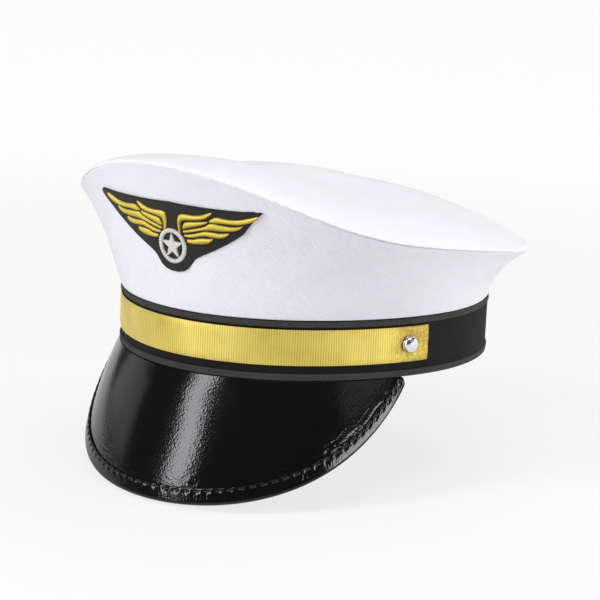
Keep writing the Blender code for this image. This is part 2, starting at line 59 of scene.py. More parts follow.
# Outer faces of the band's layers, outwards from the head oval
SWEATBAND_OUTER = 0.0010
HATBAND_INNER = 0.0026
HATBAND_OUTER = 0.0033
BINDING_OUTER = 0.0043
RIBBON_OUTER = 0.0045
STUD_SEAT = 0.0049
SWEATBAND_HEIGHT = 0.0330
BAND_HEIGHT = 0.0286
BINDING_WIDTH = 0.0030
RIBBON_BOTTOM = 0.0072
RIBBON_TOP = 0.0246
RIBBON_TAIL = 0.0110
RIB_PITCH = 0.00125
RIB_RISE = 0.085 * MM
EDGE_TOOTH = 0.13 * MM
END_FRAY = 0.16 * MM
HELD_REACH = 0.0055
TIGHT_REACH = 0.0095
PUCKER_RING = 0.0062
STUD_ANGLE = radians(68.4)
STUD_HEIGHT = (RIBBON_BOTTOM + RIBBON_TOP) / 2
STUD_RADIUS = 0.00440
STUD_DOME = 0.00290
STUD_RIM = ((0.985, 0.36), (1, 0.22), (1, -0.05), (0.985, -0.20), (0.94, -0.26))
SHANK_RADIUS = 0.00145

# Crown
CROWN_BASE = 0.0289
CROWN_RISE = (0.0733, 0.0570, 0.0396, 0.0319, 0.0245, 0.0226, 0.0223)
CROWN_FLARE = (0.0268, 0.0206, 0.0166, 0.0197, 0.0182)
CROWN_LOW_BULGE = (0.0040, 0.0012, 0.0002)
CROWN_HIGH_BULGE = (0.0082, 0.0047, 0.0029)
LOW_BULGE_PLACE = 0.15
HIGH_BULGE_PLACE = 0.60
TOP_CENTRE_RISE = 0.0448
TOP_DOME = 0.0114
TOP_ROLL = 0.0038
TOP_FALL_POWER = 1.26
TOP_ROLL_POWER = 14
SEAM_DROP = 0.0016
SIDE_SEAM_ANGLE = radians(110)
LINING_DEPTH = 0.0022
LINING_LEAVES_SIDE = 0.62
LINING_TOP = (0.14, 0.2, 0.28, 0.36, 0.45, 0.55, 0.65, 0.75, 0.84, 0.92, 0.97)
CLOTH_THICKNESS = 0.5 * MM
SIDE_SWAY = 0.45 * MM
TOP_SWAY = 0.7 * MM
REAR_HOLLOW = 1.1 * MM
REAR_TUCK = 0.6 * MM
LINING_FOLD = 1.1 * MM

# Visor
VISOR_HALF_ANGLE = radians(66.5)
VISOR_LENGTH = 0.0619
VISOR_END_LENGTH = 0.0030
VISOR_FRONT_SLOPE = radians(69.5)
VISOR_END_SLOPE = radians(71.5)
VISOR_FULLNESS = 2.10
VISOR_BLUNTNESS = 0.96
VISOR_SPLAY = 0.23
VISOR_BOW = 0.0020
VISOR_TOP = -0.0003
VISOR_STACK = 0.0027
VISOR_TUCK = ((0.8, 0.32), (2.0, 0.30), (3.0, 0.30), (4.0, 0.30))
EDGE_BINDING_WIDTH = 0.0068
EDGE_COVER = 0.0009
EDGE_NOSE = 0.0015
STITCH_INSET = 0.0016
STITCH_PITCH = 0.0055
FLAP_ROUND = 0.7 * MM
VISOR_ARC = 0.115
UNDER_DEPTH = 2.25 * MM
BAND_STITCH, TAPE_STITCH = 2.6 * MM, 3.0 * MM

# Badge, in metres from the middle of its ring
BADGE_RISE = 0.0331
BADGE_OFFSET = 0.0018
BADGE_LEAN = 0.07
BADGE_TILT = 0.02
PATCH_STRETCH = 1.06
WING_STRETCH = 1.025
WING_LEAN = 0.08
PATCH_LIFT = 0.0012
PATCH_MIDDLE = 8.0 * MM
SHARP_TIP = (21.7 * MM, 21.9 * MM)
ROUND_TIP_DROP = 1.3 * MM
# Half outlines in millimetres. Each feather has its upper edge and its lower edge, from root to tip.
PATCH_TOP = (
    (0, 22.0), (6.5, 21.7), (15, 21.45), (26, 21.5), (33, 21.7), (37.5, 21.9), (39.0, 21.5), (39.7, 19.9),
)
PATCH_BOTTOM = (
    (0, -13.2), (2.3, -13.0), (4.8, -12.3), (7.2, -10.6), (8.7, -8.4), (9.9, -6.4), (11.8, -4.7),
    (14.5, -2.9), (20.9, 1.0), (27.6, 5.9), (32.3, 10.1), (36.9, 14.9), (39.0, 17.7), (39.7, 19.9),
)
FEATHERS = (
    (((3.6, 6.6), (2.9, 11.0), (2.9, 14.6), (3.7, 16.4), (5.6, 17.0), (9.7, 16.9), (13.2, 17.5),
      (15.6, 18.6), (18.0, 19.8)),
     ((4.6, 6.6), (4.6, 10.6), (4.8, 12.7), (5.6, 13.7), (7.3, 14.1), (9.6, 14.5), (13.4, 15.3),
      (16.3, 16.6), (18.4, 19.0))),
    (((5.1, 10.2), (6.0, 12.6), (8.0, 13.5), (10.6, 13.9), (13.5, 14.4), (16.6, 14.9)),
     ((5.3, 9.4), (7.4, 10.0), (9.3, 10.7), (12.6, 12.0), (15.3, 13.2), (16.8, 14.4))),
    (((17.0, 15.1), (18.8, 16.9), (20.7, 17.5), (24.6, 17.1), (28.0, 17.2), (31.0, 17.8), (34.2, 19.0),
      (37.6, 20.3)),
     ((17.3, 14.8), (20.0, 14.6), (22.8, 14.8), (27.0, 14.9), (30.0, 15.1), (33.0, 15.9), (36.0, 17.4),
      (38.0, 19.5))),
    (((5.2, 8.6), (9.3, 9.9), (13.0, 11.2), (15.9, 12.6), (17.4, 13.9), (19.4, 14.2), (22.9, 13.9),
      (26.5, 13.7), (29.9, 14.1), (31.8, 14.9)),
     ((5.6, 7.5), (9.4, 8.4), (12.4, 9.4), (15.2, 10.2), (17.6, 10.6), (21.4, 10.7), (25.0, 11.0),
      (28.5, 11.7), (30.6, 12.7), (32.0, 14.1))),
    (((5.9, 6.6), (9.5, 7.4), (12.5, 8.5), (15.4, 9.7), (18.4, 9.9), (21.6, 9.7), (24.0, 9.9), (26.2, 10.5)),
     ((6.2, 5.6), (9.6, 5.6), (12.6, 6.5), (16.0, 7.4), (19.0, 7.2), (22.0, 7.1), (24.7, 7.9), (26.6, 9.4))),
    (((7.4, 4.6), (10.5, 4.9), (12.7, 5.8), (15.7, 6.3), (17.6, 6.4), (19.5, 6.7)),
     ((7.7, 2.9), (10.6, 2.7), (13.7, 2.8), (16.6, 3.4), (18.6, 4.4), (19.8, 6.0))),
)
RING_HALF = (0.00645, 0.00770)
RING_BREADTH = 0.0021
STAR_HALF = (0.0059, 0.0071)
STAR_WAIST = 0.42
EMBROIDERY_RISE = 0.0011
EMBROIDERY_SINK = 0.05 * MM
EMBROIDERY_ROOT = 0.35 * MM
THREAD_PITCH = 0.00110
THREAD_UP = np.array([0.123, 0.321, 0.94])

PROBE = 0.0005
HALVINGS = 26


def around(stations, angle):
    """Smooth value round the cap through stations spaced evenly from the front to the back."""
    order = np.arange(len(stations))
    waves = np.cos(np.outer(order * pi / order[-1], order))
    weights = np.linalg.solve(waves, np.array(stations))
    return sum(weight * np.cos(count * angle) for count, weight in zip(order, weights))


def oval_frame(angle):
    """Plan points of the head oval and the outward directions there."""
    mean = (HEAD_LENGTH + HEAD_WIDTH) / 4 - OVAL_POINT
    stretch = (HEAD_LENGTH - HEAD_WIDTH) / 4
    radius = mean + stretch * np.cos(2 * angle) + OVAL_TAPER * np.cos(3 * angle)
    radius = radius + OVAL_POINT * np.cos(4 * angle)
    slope = -2 * stretch * np.sin(2 * angle) - 3 * OVAL_TAPER * np.sin(3 * angle)
    slope = slope - 4 * OVAL_POINT * np.sin(4 * angle)
    points = np.stack([radius * np.sin(angle), -radius * np.cos(angle)], -1)
    along_x = slope * np.sin(angle) + radius * np.cos(angle)
    along_y = radius * np.sin(angle) - slope * np.cos(angle)
    outwards = np.stack([along_y, -along_x], -1) / np.hypot(along_x, along_y)[..., None]
    return points, outwards


def oval(angle, outset, height):
    """Points that stand off the head oval by an outset, at a height."""
    points, outwards = oval_frame(angle)
    plan = points + outwards * np.asarray(outset)[..., None]
    return np.concatenate([plan, np.broadcast_to(height, plan.shape[:-1])[..., None]], -1)


def rise_weights(up):
    """Weights of the low bulge, the high bulge and the rim on the way up the crown's side."""
    return 3 * up * (1 - up) ** 2, 3 * up ** 2 * (1 - up), up ** 3


def crown_height(angle, up):
    """Height of the crown's side at a share of the way from its lower edge to the rim."""
    low, high, rim = rise_weights(up)
    return CROWN_BASE + around(CROWN_RISE, angle) * (low * LOW_BULGE_PLACE + high * HIGH_BULGE_PLACE + rim)


def crown_side(angle, up):
    """Outer face of the crown's side, from its lower edge (0) to the rim (1)."""
    low, high, rim = rise_weights(up)
    outset = low * around(CROWN_LOW_BULGE, angle) + high * around(CROWN_HIGH_BULGE, angle)
    outset = BINDING_OUTER + outset + rim * around(CROWN_FLARE, angle)
    return oval(angle, outset, crown_height(angle, up))


def crown_top(angle, inwards):
    """Outer face of the crown's top, from the rim (0) to its centre (1)."""
    rim = crown_side(angle, 1.0)
    reach = np.maximum(1 - inwards, 0) + np.zeros_like(angle)
    centre = CROWN_BASE + TOP_CENTRE_RISE
    height = centre + (rim[..., 2] - centre) * reach ** TOP_FALL_POWER
    height = height + TOP_DOME * (1 - reach ** 2) + TOP_ROLL * (1 - reach ** TOP_ROLL_POWER)
    return np.concatenate([rim[..., :2] * reach[..., None], height[..., None]], -1)


def visor_length(angle):
    """Length of the visor from its root to its edge."""
    share = np.clip(1 - np.abs(angle / VISOR_HALF_ANGLE) ** VISOR_FULLNESS, 0, 1)
    return VISOR_END_LENGTH + (VISOR_LENGTH - VISOR_END_LENGTH) * share ** VISOR_BLUNTNESS


def visor_face(angle, up):
    """Outer face of the visor, from its outer edge (0) to its root under the band (1)."""
    length = visor_length(angle)
    slope = VISOR_FRONT_SLOPE + (VISOR_END_SLOPE - VISOR_FRONT_SLOPE) * (angle / VISOR_HALF_ANGLE) ** 2
    heading = oval_frame(angle)[1] * (1 + VISOR_SPLAY) - np.array([0, -1]) * VISOR_SPLAY
    heading = heading / np.linalg.norm(heading, axis=-1, keepdims=True)
    run = length * (1 - up)
    bow = VISOR_BOW * length / VISOR_LENGTH * 4 * up * (1 - up)
    outwards = run * np.cos(slope) + bow * np.sin(slope)
    drop = run * np.sin(slope) - bow * np.cos(slope)
    face = oval(angle, BINDING_OUTER, VISOR_TOP)
    face[..., :2] += heading * outwards[..., None]
    face[..., 2] -= drop
    return face


def unit(vectors):
    """Vectors cut to a length of one."""
    return vectors / np.linalg.norm(vectors, axis=-1, keepdims=True)


def normals(surface, angle, up):
    """Outward directions of a surface given by angle and height."""
    up = up + np.zeros_like(angle)
    across = surface(angle + PROBE, up) - surface(angle - PROBE, up)
    along = surface(angle, up + PROBE) - surface(angle, up - PROBE)
    return unit(np.cross(across, along))


def lifted(surface, angle, up, lift):
    """Points over a surface, or under it where the lift is negative."""
    lift = np.asarray(lift) + np.zeros_like(angle)
    return surface(angle, up + np.zeros_like(angle)) + lift[..., None] * normals(surface, angle, up)


def seam_height(angle):
    """Share of the side's height at which the side panels meet the top panel."""
    steep = np.linalg.norm(crown_side(angle, 1.0) - crown_side(angle, 1 - PROBE), axis=-1) / PROBE
    return 1 - SEAM_DROP / steep


shares = np.linspace(0, 1, 201)
front_share = np.interp(CROWN_BASE + BADGE_RISE, crown_height(np.zeros(201), shares), shares)
BADGE_RADIUS = -crown_side(np.zeros(1), front_share)[0, 1]


def on_crown(across, up, lift):
    """Points on the crown's front, across and up from the badge's centre and lifted off the cloth."""
    across, up = across + (BADGE_LEAN + BADGE_TILT) * up, up - BADGE_TILT * across
    angle = (across + BADGE_OFFSET) / BADGE_RADIUS
    height = CROWN_BASE + BADGE_RISE + up + np.zeros_like(angle)
    low, high = np.zeros_like(angle), np.ones_like(angle)
    for _ in range(HALVINGS):
        middle = (low + high) / 2
        below = crown_height(angle, middle) < height
        low, high = np.where(below, middle, low), np.where(below, high, middle)
    return lifted(crown_side, angle, (low + high) / 2, lift)


def round_over(distance, radius):
    """Depth of a rounded edge at a distance from it."""
    inside = np.clip(1 - distance / radius, 0, 1)
    return radius * (1 - np.sqrt(1 - inside ** 2))


def ripple(x, y, seed, count=8):
    """Uneven waves about one unit long, mostly between -1 and 1."""
    draw = np.random.default_rng(seed)
    total = 0
    for _ in range(count):
        turn, size, phase = draw.uniform(0, 2 * pi), draw.uniform(0.5, 1.6), draw.uniform(0, 2 * pi)
        total = total + np.sin(2 * pi * size * (x * cos(turn) + y * sin(turn)) + phase)
    return total * (2 / count) ** 0.5 / 1.6


def fade(distance, start, end):
    """Share that rises smoothly from 0 at the start distance to 1 at the end distance."""
    share = np.clip((distance - start) / (end - start), 0, 1)
    return share * share * (3 - 2 * share)


def turned(angle):
    """Angle from the front of the cap, negative towards -X."""
    return (angle + pi) % (2 * pi) - pi


def towards_back(angle, start, end):
    """Share that rises from 0 to 1 between two angles, in degrees away from the front on both sides."""
    return fade(np.abs(turned(angle)), radians(start), radians(end))


def full_turn(count):
    """Angles spaced evenly all round, from the front."""
    return np.arange(count) * 2 * pi / count


def run_length(points):
    """Length along a row of points, up to each of them."""
    steps = np.linalg.norm(np.diff(points, axis=0), axis=-1)
    return np.concatenate([[0], np.cumsum(steps)])


def smooth_curve(points, count):
    """Evenly spaced points on a smooth curve through some points."""
    points = np.array(points, float)
    padded = np.concatenate([2 * points[:1] - points[1:2], points, 2 * points[-1:] - points[-2:-1]])
    fine = []
    for index in range(1, len(padded) - 2):
        before, start, end, after = padded[index - 1:index + 3]
        step = np.linspace(0, 1, 24, endpoint=False)[:, None]
        square, cube = step ** 2, step ** 3
        fine.append(0.5 * (2 * start + (end - before) * step + (2 * before - 5 * start + 4 * end - after) * square
                           + (3 * start - before - 3 * end + after) * cube))
    fine = np.concatenate(fine + [points[-1:]])
    length = run_length(fine)
    even = np.linspace(0, length[-1], count)
    return np.stack([np.interp(even, length, fine[:, axis]) for axis in range(points.shape[1])], -1)


def grid_normals(points):
    """Outward directions of a grid of points, from its own neighbours."""
    return unit(np.cross(np.gradient(points, axis=1), np.gradient(points, axis=0)) + 1e-18)


def quads(index):
    """Faces between the neighbours in a grid of vertex numbers."""
    corners = index[:-1, :-1], index[:-1, 1:], index[1:, 1:], index[1:, :-1]
    return np.stack(corners, -1).reshape(-1, 4)


def add_piece(name, vertices, faces, material, nodes, body, sharp, uv):
    """Piece that rides on a body and stands for CAD nodes, with places in the cloth's plane for its corners."""
    mesh = bpy.data.meshes.new(name)
    mesh.from_pydata(np.concatenate(vertices).tolist(), [], faces)
    if uv:
        layer = mesh.uv_layers.new(name="cloth")
        layer.data.foreach_set("uv", np.concatenate(uv).astype(np.float32).ravel())
    mesh.materials.append(material)
    mesh.shade_smooth()
    mesh.set_sharp_from_angle(angle=radians(sharp))
    piece = bpy.data.objects.new(name, mesh)
    bpy.context.scene.collection.objects.link(piece)
    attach(piece, body)
    if nodes:
        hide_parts(*nodes)
    return piece


def add_grid(name, points, material, nodes=(), body="cap", uv=None, ring=False, loop=False, centre=False,
             thickness=0.0, sharp=60):
    """Piece made of a grid of points. A ring joins its last column to the first, a loop its last row."""
    rows, columns = points.shape[:2]
    index = np.arange(rows * columns).reshape(rows, columns)
    index = np.pad(index, ((0, int(loop)), (0, int(ring))), mode="wrap")
    if uv is None:
        along = run_length(np.concatenate([points[rows // 2], points[rows // 2][:1]]))
        up = run_length(np.concatenate([points[:, columns // 2], points[:1, columns // 2]]))
        uv = np.stack(np.meshgrid(along, up), -1)
    else:
        uv = np.pad(uv, ((0, 1), (0, 1), (0, 0)), mode="wrap")
    vertices, faces = [points.reshape(-1, 3)], quads(index).tolist()
    plane = uv[:index.shape[0], :index.shape[1]].reshape(-1, 2)
    loops = [plane[quads(np.arange(index.size).reshape(index.shape))].reshape(-1, 2)]
    if centre:
        vertices.append(points[-1].mean(0, keepdims=True))
        last = index[-1].tolist()
        faces += [(first, second, rows * columns) for first, second in zip(last[:-1], last[1:])]
        edge = uv[rows - 1, :len(last)]
        middle = np.broadcast_to(uv[rows - 1].mean(0), edge[:-1].shape)
        loops.append(np.stack([edge[:-1], edge[1:], middle], 1).reshape(-1, 2))
    piece = add_piece(name, vertices, faces, material, nodes, body, sharp, loops)
    if thickness:
        solidify = piece.modifiers.new("thickness", "SOLIDIFY")
        solidify.thickness = thickness
        solidify.offset = -1
    return piece


def add_tubes(name, grids, material, nodes=(), sharp=70, planes=(), body="cap"):
    """Closed tubes as one piece. Each is a grid whose last row joins the first, with flat ends."""
    faces, count, uv = [], 0, []
    for points in grids:
        rows, columns = points.shape[:2]
        index = count + np.arange(rows * columns).reshape(rows, columns)
        faces += quads(np.concatenate([index, index[:1]])).tolist()
        faces += [index[:, 0].tolist(), index[:, -1][::-1].tolist()]
        count += index.size
    if planes:
        uv = [np.concatenate(planes)[np.concatenate([np.array(face) for face in faces])]]
    vertices = [points.reshape(-1, 3) for points in grids]
    return add_piece(name, vertices, faces, material, nodes, body, sharp, uv)


def add_threads(name, paths, radius, nodes=()):
    """Short black threads with rounded ends along paths, as one piece."""
    turn = full_turn(6)[:, None, None]
    grids = []
    for path in paths:
        ahead = unit(np.gradient(path, axis=0))
        side = unit(np.cross(ahead, THREAD_UP))
        other = np.cross(ahead, side)
        width = radius * np.maximum(1 - np.linspace(-1, 1, len(path)) ** 6, 0.12) ** 0.5
        grids.append(path + (side * np.cos(turn) - other * np.sin(turn)) * width[:, None])
    return add_tubes(name, grids, black_thread, nodes)


# Materials

def node(tree, kind, inputs=None, **settings):
    """Shader node with its settings, and its inputs set or linked."""
    made = tree.nodes.new("ShaderNode" + kind)
    for key, value in settings.items():
        setattr(made, key, value)
    for key, value in (inputs or {}).items():
        if isinstance(value, bpy.types.NodeSocket):
            tree.links.new(value, made.inputs[key])
        else:
            made.inputs[key].default_value = value
    return made


def look(name, **sockets):
    """New Principled material with some of its sockets set, and its node tree."""
    material = bpy.data.materials.new(name)
    material.use_nodes = True
    tree = material.node_tree
    for key, value in sockets.items():
        tree.nodes["Principled BSDF"].inputs[key.replace("_", " ")].default_value = value
    return material, tree


def dress(material, colour, roughness, height, depth, strength):
    """Link a material's colour, its roughness and a height that stands out of it by a depth."""
    tree = material.node_tree
    shader = tree.nodes["Principled BSDF"]
    bump = node(tree, "Bump", {"Height": height, "Distance": depth, "Strength": strength})
    for key, socket in (("Base Color", colour), ("Roughness", roughness), ("Normal", bump.outputs["Normal"])):
        tree.links.new(socket, shader.inputs[key])
    return material


def calc(tree, operation, first, second=0.0):
    """Result of a Math node."""
    return node(tree, "Math", {0: first, 1: second}, operation=operation).outputs[0]


def ramp(tree, factor, *stops):
    """Colour that runs through (place, colour) stops as the factor rises."""
    made = node(tree, "ValToRGB", {"Fac": factor})
    elements = made.color_ramp.elements
    for element, (place, colour) in zip(elements, stops):
        element.position, element.color = place, (*colour, 1)
    for place, colour in stops[2:]:
        elements.new(place).color = (*colour, 1)
    return made.outputs["Color"]


def spread(tree, value, low, high, start=0.0, end=1.0, kind="LINEAR"):
    """Value between a start and an end, moved to run from low to high."""
    inputs = {"Value": value, "From Min": start, "From Max": end, "To Min": low, "To Max": high}
    return node(tree, "MapRange", inputs, interpolation_type=kind).outputs["Result"]


def blended(tree, first, second, share, keep=1.0):
    """What is kept of the first value and a share of the second, added."""
    if keep != 1.0:
        first = calc(tree, "MULTIPLY", first, keep)
    return calc(tree, "ADD", first, calc(tree, "MULTIPLY", second, share))


def cloth_plane(tree):
    """Place in the cloth's own plane."""
    return node(tree, "UVMap", uv_map="cloth").outputs["UV"]


def woven(tree, pitch, turn, bend=0.5):
    """Ribs of a weave across the cloth's own plane, a pitch apart and turned by an angle."""
    plane = node(tree, "Mapping", {"Vector": cloth_plane(tree), "Rotation": (0, 0, turn)}).outputs["Vector"]
    inputs = {"Vector": plane, "Scale": pi / 10 / pitch, "Distortion": bend, "Detail": 1.0, "Detail Scale": 0.6}
    return node(tree, "TexWave", inputs, wave_type="BANDS", bands_direction="X").outputs["Fac"]


def mottle(tree, scale, detail=3.0, roughness=0.55):
    """Uneven noise fixed to the piece, with a scale per metre."""
    place = node(tree, "TexCoord").outputs["Object"]
    inputs = {"Vector": place, "Scale": scale, "Detail": detail, "Roughness": roughness}
    return node(tree, "TexNoise", inputs).outputs["Fac"]


def cloth_look(name, dark, light, pitch, turn, depth, roughness, sheen, specular=0.25):
    """Twill or plain woven cloth with its ribs, finer cross threads and a little unevenness."""
    material, tree = look(name, Sheen_Weight=sheen, Sheen_Roughness=0.5, Specular_IOR_Level=specular)
    cross_threads = woven(tree, pitch * 0.52, turn + pi / 2 + 0.25)
    weave = blended(tree, woven(tree, pitch, turn), cross_threads, 0.45)
    uneven = mottle(tree, 70.0)
    colour = ramp(tree, blended(tree, weave, uneven, 0.5, keep=0.45), (0.15, dark), (0.85, light))
    rough = spread(tree, uneven, roughness - 0.06, roughness + 0.06)
    return dress(material, colour, rough, weave, depth, 0.8)


def vinyl_look(name, depth):
    """Glossy black vinyl with a fine pebble grain of some depth."""
    material, tree = look(name, Specular_IOR_Level=0.35)
    place = node(tree, "TexCoord").outputs["Object"]
    inputs = {"Vector": place, "Scale": 1000.0, "Smoothness": 0.5, "Randomness": 1.0}
    cells = node(tree, "TexVoronoi", inputs, feature="SMOOTH_F1").outputs["Distance"]
    grain = blended(tree, cells, mottle(tree, 900.0, 2.0, 0.5), 0.5)
    patches = mottle(tree, 38.0)
    colour = ramp(tree, patches, (0.3, (0.0015, 0.0015, 0.0015)), (0.7, (0.0032, 0.0032, 0.0033)))
    return dress(material, colour, spread(tree, patches, 0.11, 0.16), grain, depth, 0.55)


def ribbon_look():
    """Metallic gold ribbon with painted shade in the grooves between its ribs and in the crumples at its ends."""
    material, tree = look("gold_ribbon", Metallic=0.48, Specular_IOR_Level=0.5)
    threads = woven(tree, 0.00040, pi / 2, 1.0)
    uneven = mottle(tree, 60.0, 3.0, 0.5)
    along = node(tree, "SeparateXYZ", {0: cloth_plane(tree)}).outputs["X"]
    near_end = spread(tree, calc(tree, "ABSOLUTE", along), 0.0, 1.0, 0.098, 0.118, "SMOOTHSTEP")
    ribbed = calc(tree, "SUBTRACT", 1.0, near_end)
    # Painted shade: the grooves between the ribs are darkened in the colour.
    painted_groove_shade = calc(tree, "MULTIPLY", woven(tree, RIB_PITCH, 0.0, 0.0), ribbed)
    # Painted shade: noise darkens the colour where the ribbon is crumpled near its ends.
    painted_crumple_shade = calc(tree, "MULTIPLY", mottle(tree, 700.0, 3.0, 0.7), near_end)
    shade = blended(tree, uneven, threads, 0.15, keep=0.6)
    shade = blended(tree, blended(tree, shade, painted_groove_shade, -0.38), painted_crumple_shade, -0.85)
    # The low, brown stops carry the painted shade of the grooves and the crumples.
    stops = (0.20, (0.33, 0.20, 0.022)), (0.48, (0.63, 0.49, 0.080)), (0.75, (0.735, 0.605, 0.145))
    colour = ramp(tree, calc(tree, "ADD", shade, 0.38), *stops)
    return dress(material, colour, spread(tree, uneven, 0.30, 0.40), threads, 0.00006, 0.6)


def thread_look(name, dark, light, roughness):
    """Embroidery or sewing thread with a soft shine."""
    material, tree = look(name, Specular_IOR_Level=0.5, Sheen_Weight=0.1)
    fibres, uneven = mottle(tree, 2600.0, 2.0), mottle(tree, 240.0)
    colour = ramp(tree, blended(tree, fibres, uneven, 0.5, keep=0.5), (0.35, dark), (0.65, light))
    rough = spread(tree, fibres, roughness - 0.08, roughness + 0.08)
    return dress(material, colour, rough, fibres, 0.00005, 0.5)


def painted_shade_satin_look(name, shadow, dark, light):
    """Satin stitches: shining threads across each feather, with painted shade along its lower edge and between
    the threads, and a painted highlight along its upper part.
    """
    material, tree = look(name, Metallic=0.2, Specular_IOR_Level=0.5, Sheen_Weight=0.1)
    across = node(tree, "SeparateXYZ", {0: cloth_plane(tree)}).outputs["Y"]
    # Painted shade and highlight: the colour darkens towards each feather's lower edge and lightens towards its
    # upper edge.
    level = spread(tree, across, 0.0, 1.0, -1.0, 1.0)
    fibres = mottle(tree, 1500.0, 2.0)
    # Painted shade between the satin threads.
    shade = blended(tree, level, woven(tree, THREAD_PITCH, 0.0, 0.0), -0.32)
    colour = ramp(tree, blended(tree, shade, fibres, 0.12), (0.02, shadow), (0.38, dark), (0.82, light))
    return dress(material, colour, spread(tree, fibres, 0.32, 0.48), fibres, 0.00005, 0.5)


def felt_look(name, dark, light):
    """Short-haired felt."""
    material, tree = look(name, Sheen_Weight=0.12, Sheen_Roughness=0.6, Specular_IOR_Level=0.2)
    hairs, clumps = mottle(tree, 3200.0, 3.0, 0.7), mottle(tree, 420.0)
    colour = ramp(tree, blended(tree, hairs, clumps, 0.4, keep=0.6), (0.3, dark), (0.7, light))
    return dress(material, colour, spread(tree, clumps, 0.85, 1.0), hairs, 0.00012, 0.8)


def plain_look(name, dark, light, roughness, metallic=0.0, scale=300.0, depth=0.00003):
    """Moulded, pressed or polished stuff with slight unevenness."""
    material, tree = look(name, Metallic=metallic)
    uneven = mottle(tree, scale, 4.0)
    colour = ramp(tree, uneven, (0.3, dark), (0.7, light))
    rough = spread(tree, uneven, roughness * 0.8, roughness * 1.2)
    return dress(material, colour, rough, uneven, depth, 0.4)


WHITES = (0.765, 0.757, 0.800), (0.850, 0.842, 0.880)
BLACKS = (0.0032, 0.0030, 0.0027), (0.0120, 0.0116, 0.0106)
STRIP_BLACKS = (0.0150, 0.0142, 0.0125), (0.0620, 0.0600, 0.0545)
TAPE_BLACKS = (0.008, 0.008, 0.009), (0.024, 0.024, 0.025)
LINING_WHITES = (0.62, 0.62, 0.64), (0.74, 0.74, 0.76)
white_twill = cloth_look("white_twill", *WHITES, 0.0014, radians(-40), 0.00014, 0.80, 0.10)
white_top_twill = cloth_look("white_top_twill", *WHITES, 0.0014, radians(35), 0.00011, 0.80, 0.10)
black_weave = cloth_look("black_weave", *BLACKS, 0.0008, radians(45), 0.00010, 0.76, 0.03, 0.12)
black_strip = cloth_look("black_strip", *STRIP_BLACKS, 0.0012, radians(40), 0.00016, 0.76, 0.04, 0.14)
black_tape = cloth_look("black_tape", *TAPE_BLACKS, 0.0011, 0.0, 0.00012, 0.70, 0.10)
white_lining = cloth_look("white_lining", *LINING_WHITES, 0.0007, 0.0, 0.00006, 0.62, 0.15)
black_vinyl = vinyl_look("black_vinyl", 0.000085)
edge_vinyl = vinyl_look("edge_vinyl", 0.00003)
gold_ribbon = ribbon_look()
# Gold thread: the shadow colour is painted shade at each feather's lower edge, and the light colour is a painted
# highlight along its upper part.
gold_thread = painted_shade_satin_look("gold_thread", (0.12, 0.070, 0.006), (0.53, 0.385, 0.022), (0.79, 0.63, 0.066))
silver_thread = thread_look("silver_thread", (0.56, 0.55, 0.51), (0.71, 0.70, 0.66), 0.5)
black_thread = thread_look("black_thread", (0.006, 0.006, 0.007), (0.020, 0.020, 0.021), 0.45)
charcoal_felt = felt_look("charcoal_felt", (0.0065, 0.0060, 0.0050), (0.019, 0.0180, 0.0155))
white_felt = felt_look("white_felt", (0.66, 0.65, 0.62), (0.80, 0.79, 0.76))
chrome = plain_look("chrome", (0.70, 0.70, 0.72), (0.82, 0.82, 0.83), 0.15, 1.0, 900.0, 0.000004)
grey_board = plain_look("grey_board", (0.15, 0.145, 0.135), (0.24, 0.23, 0.22), 0.85, 0.0, 1500.0, 0.00005)
white_plastic = plain_look("white_plastic", (0.66, 0.66, 0.66), (0.74, 0.74, 0.74), 0.45)


# Crown

def seam_mark(angle):
    """How plainly the rim seam shows: faint at the front, a clean crease at the sides and the back."""
    left = fade(turned(angle), radians(25), radians(65))
    right = fade(-turned(angle), radians(50), radians(85))
    return 0.06 + 0.94 * np.maximum(left, right)


def crown_panel(name, start, stop, columns):
    """Side panel of the crown, turned in along the band, the rim seam and its upright seams."""
    ends = np.array([0, 0.0012, 0.0026, 0.0045, 0.007, 0.010])
    turn = np.concatenate([ends, np.linspace(0.014, 0.986, columns), 1 - ends[::-1]])
    rise = np.concatenate([[0, 0.004, 0.009, 0.016, 0.026, 0.04], np.linspace(0.06, 0.94, 44),
                           [0.957, 0.970, 0.980, 0.988, 0.994, 1]])
    angle = start + (stop - start) * turn[None, :] + np.zeros((len(rise), 1))
    up = rise[:, None] * seam_height(angle)
    points = crown_side(angle, up)
    edges = points[:1], points[-1:], points[:, :1], points[:, -1:]
    from_base, from_seam, from_start, from_stop = (np.linalg.norm(points - edge, axis=-1) for edge in edges)
    from_end = np.minimum(from_start, from_stop)
    depth = np.maximum(round_over(from_base, 0.9 * MM), round_over(from_seam, 0.8 * MM) * seam_mark(angle))
    depth = np.maximum(depth, round_over(from_end, 0.7 * MM))
    hollow = REAR_HOLLOW * np.sin(pi * rise[:, None]) + REAR_TUCK * np.exp(-(from_base / 0.004) ** 2)
    depth = depth + towards_back(angle, 85, 120) * hollow
    loose = fade(np.minimum(from_base, from_seam), 0.001, 0.014)
    sway = ripple(angle * 1.5, points[..., 2] / 0.060, 11) * SIDE_SWAY * loose
    pull = ripple(angle * 9, points[..., 2] / 0.030 + angle * 2, 12) * 0.10 * MM * loose
    gather = ripple(angle * ROUND / 7, np.zeros_like(angle), 13) * 0.12 * MM * (1 - fade(from_seam, 0.001, 0.008))
    beside = -0.25 * MM * np.exp(-(from_end / 0.0022) ** 2)
    points = points + (sway + pull + gather + beside - depth)[..., None] * normals(crown_side, angle, up)
    return add_grid(name + "_panel", points, white_twill, (name,), thickness=CLOTH_THICKNESS)


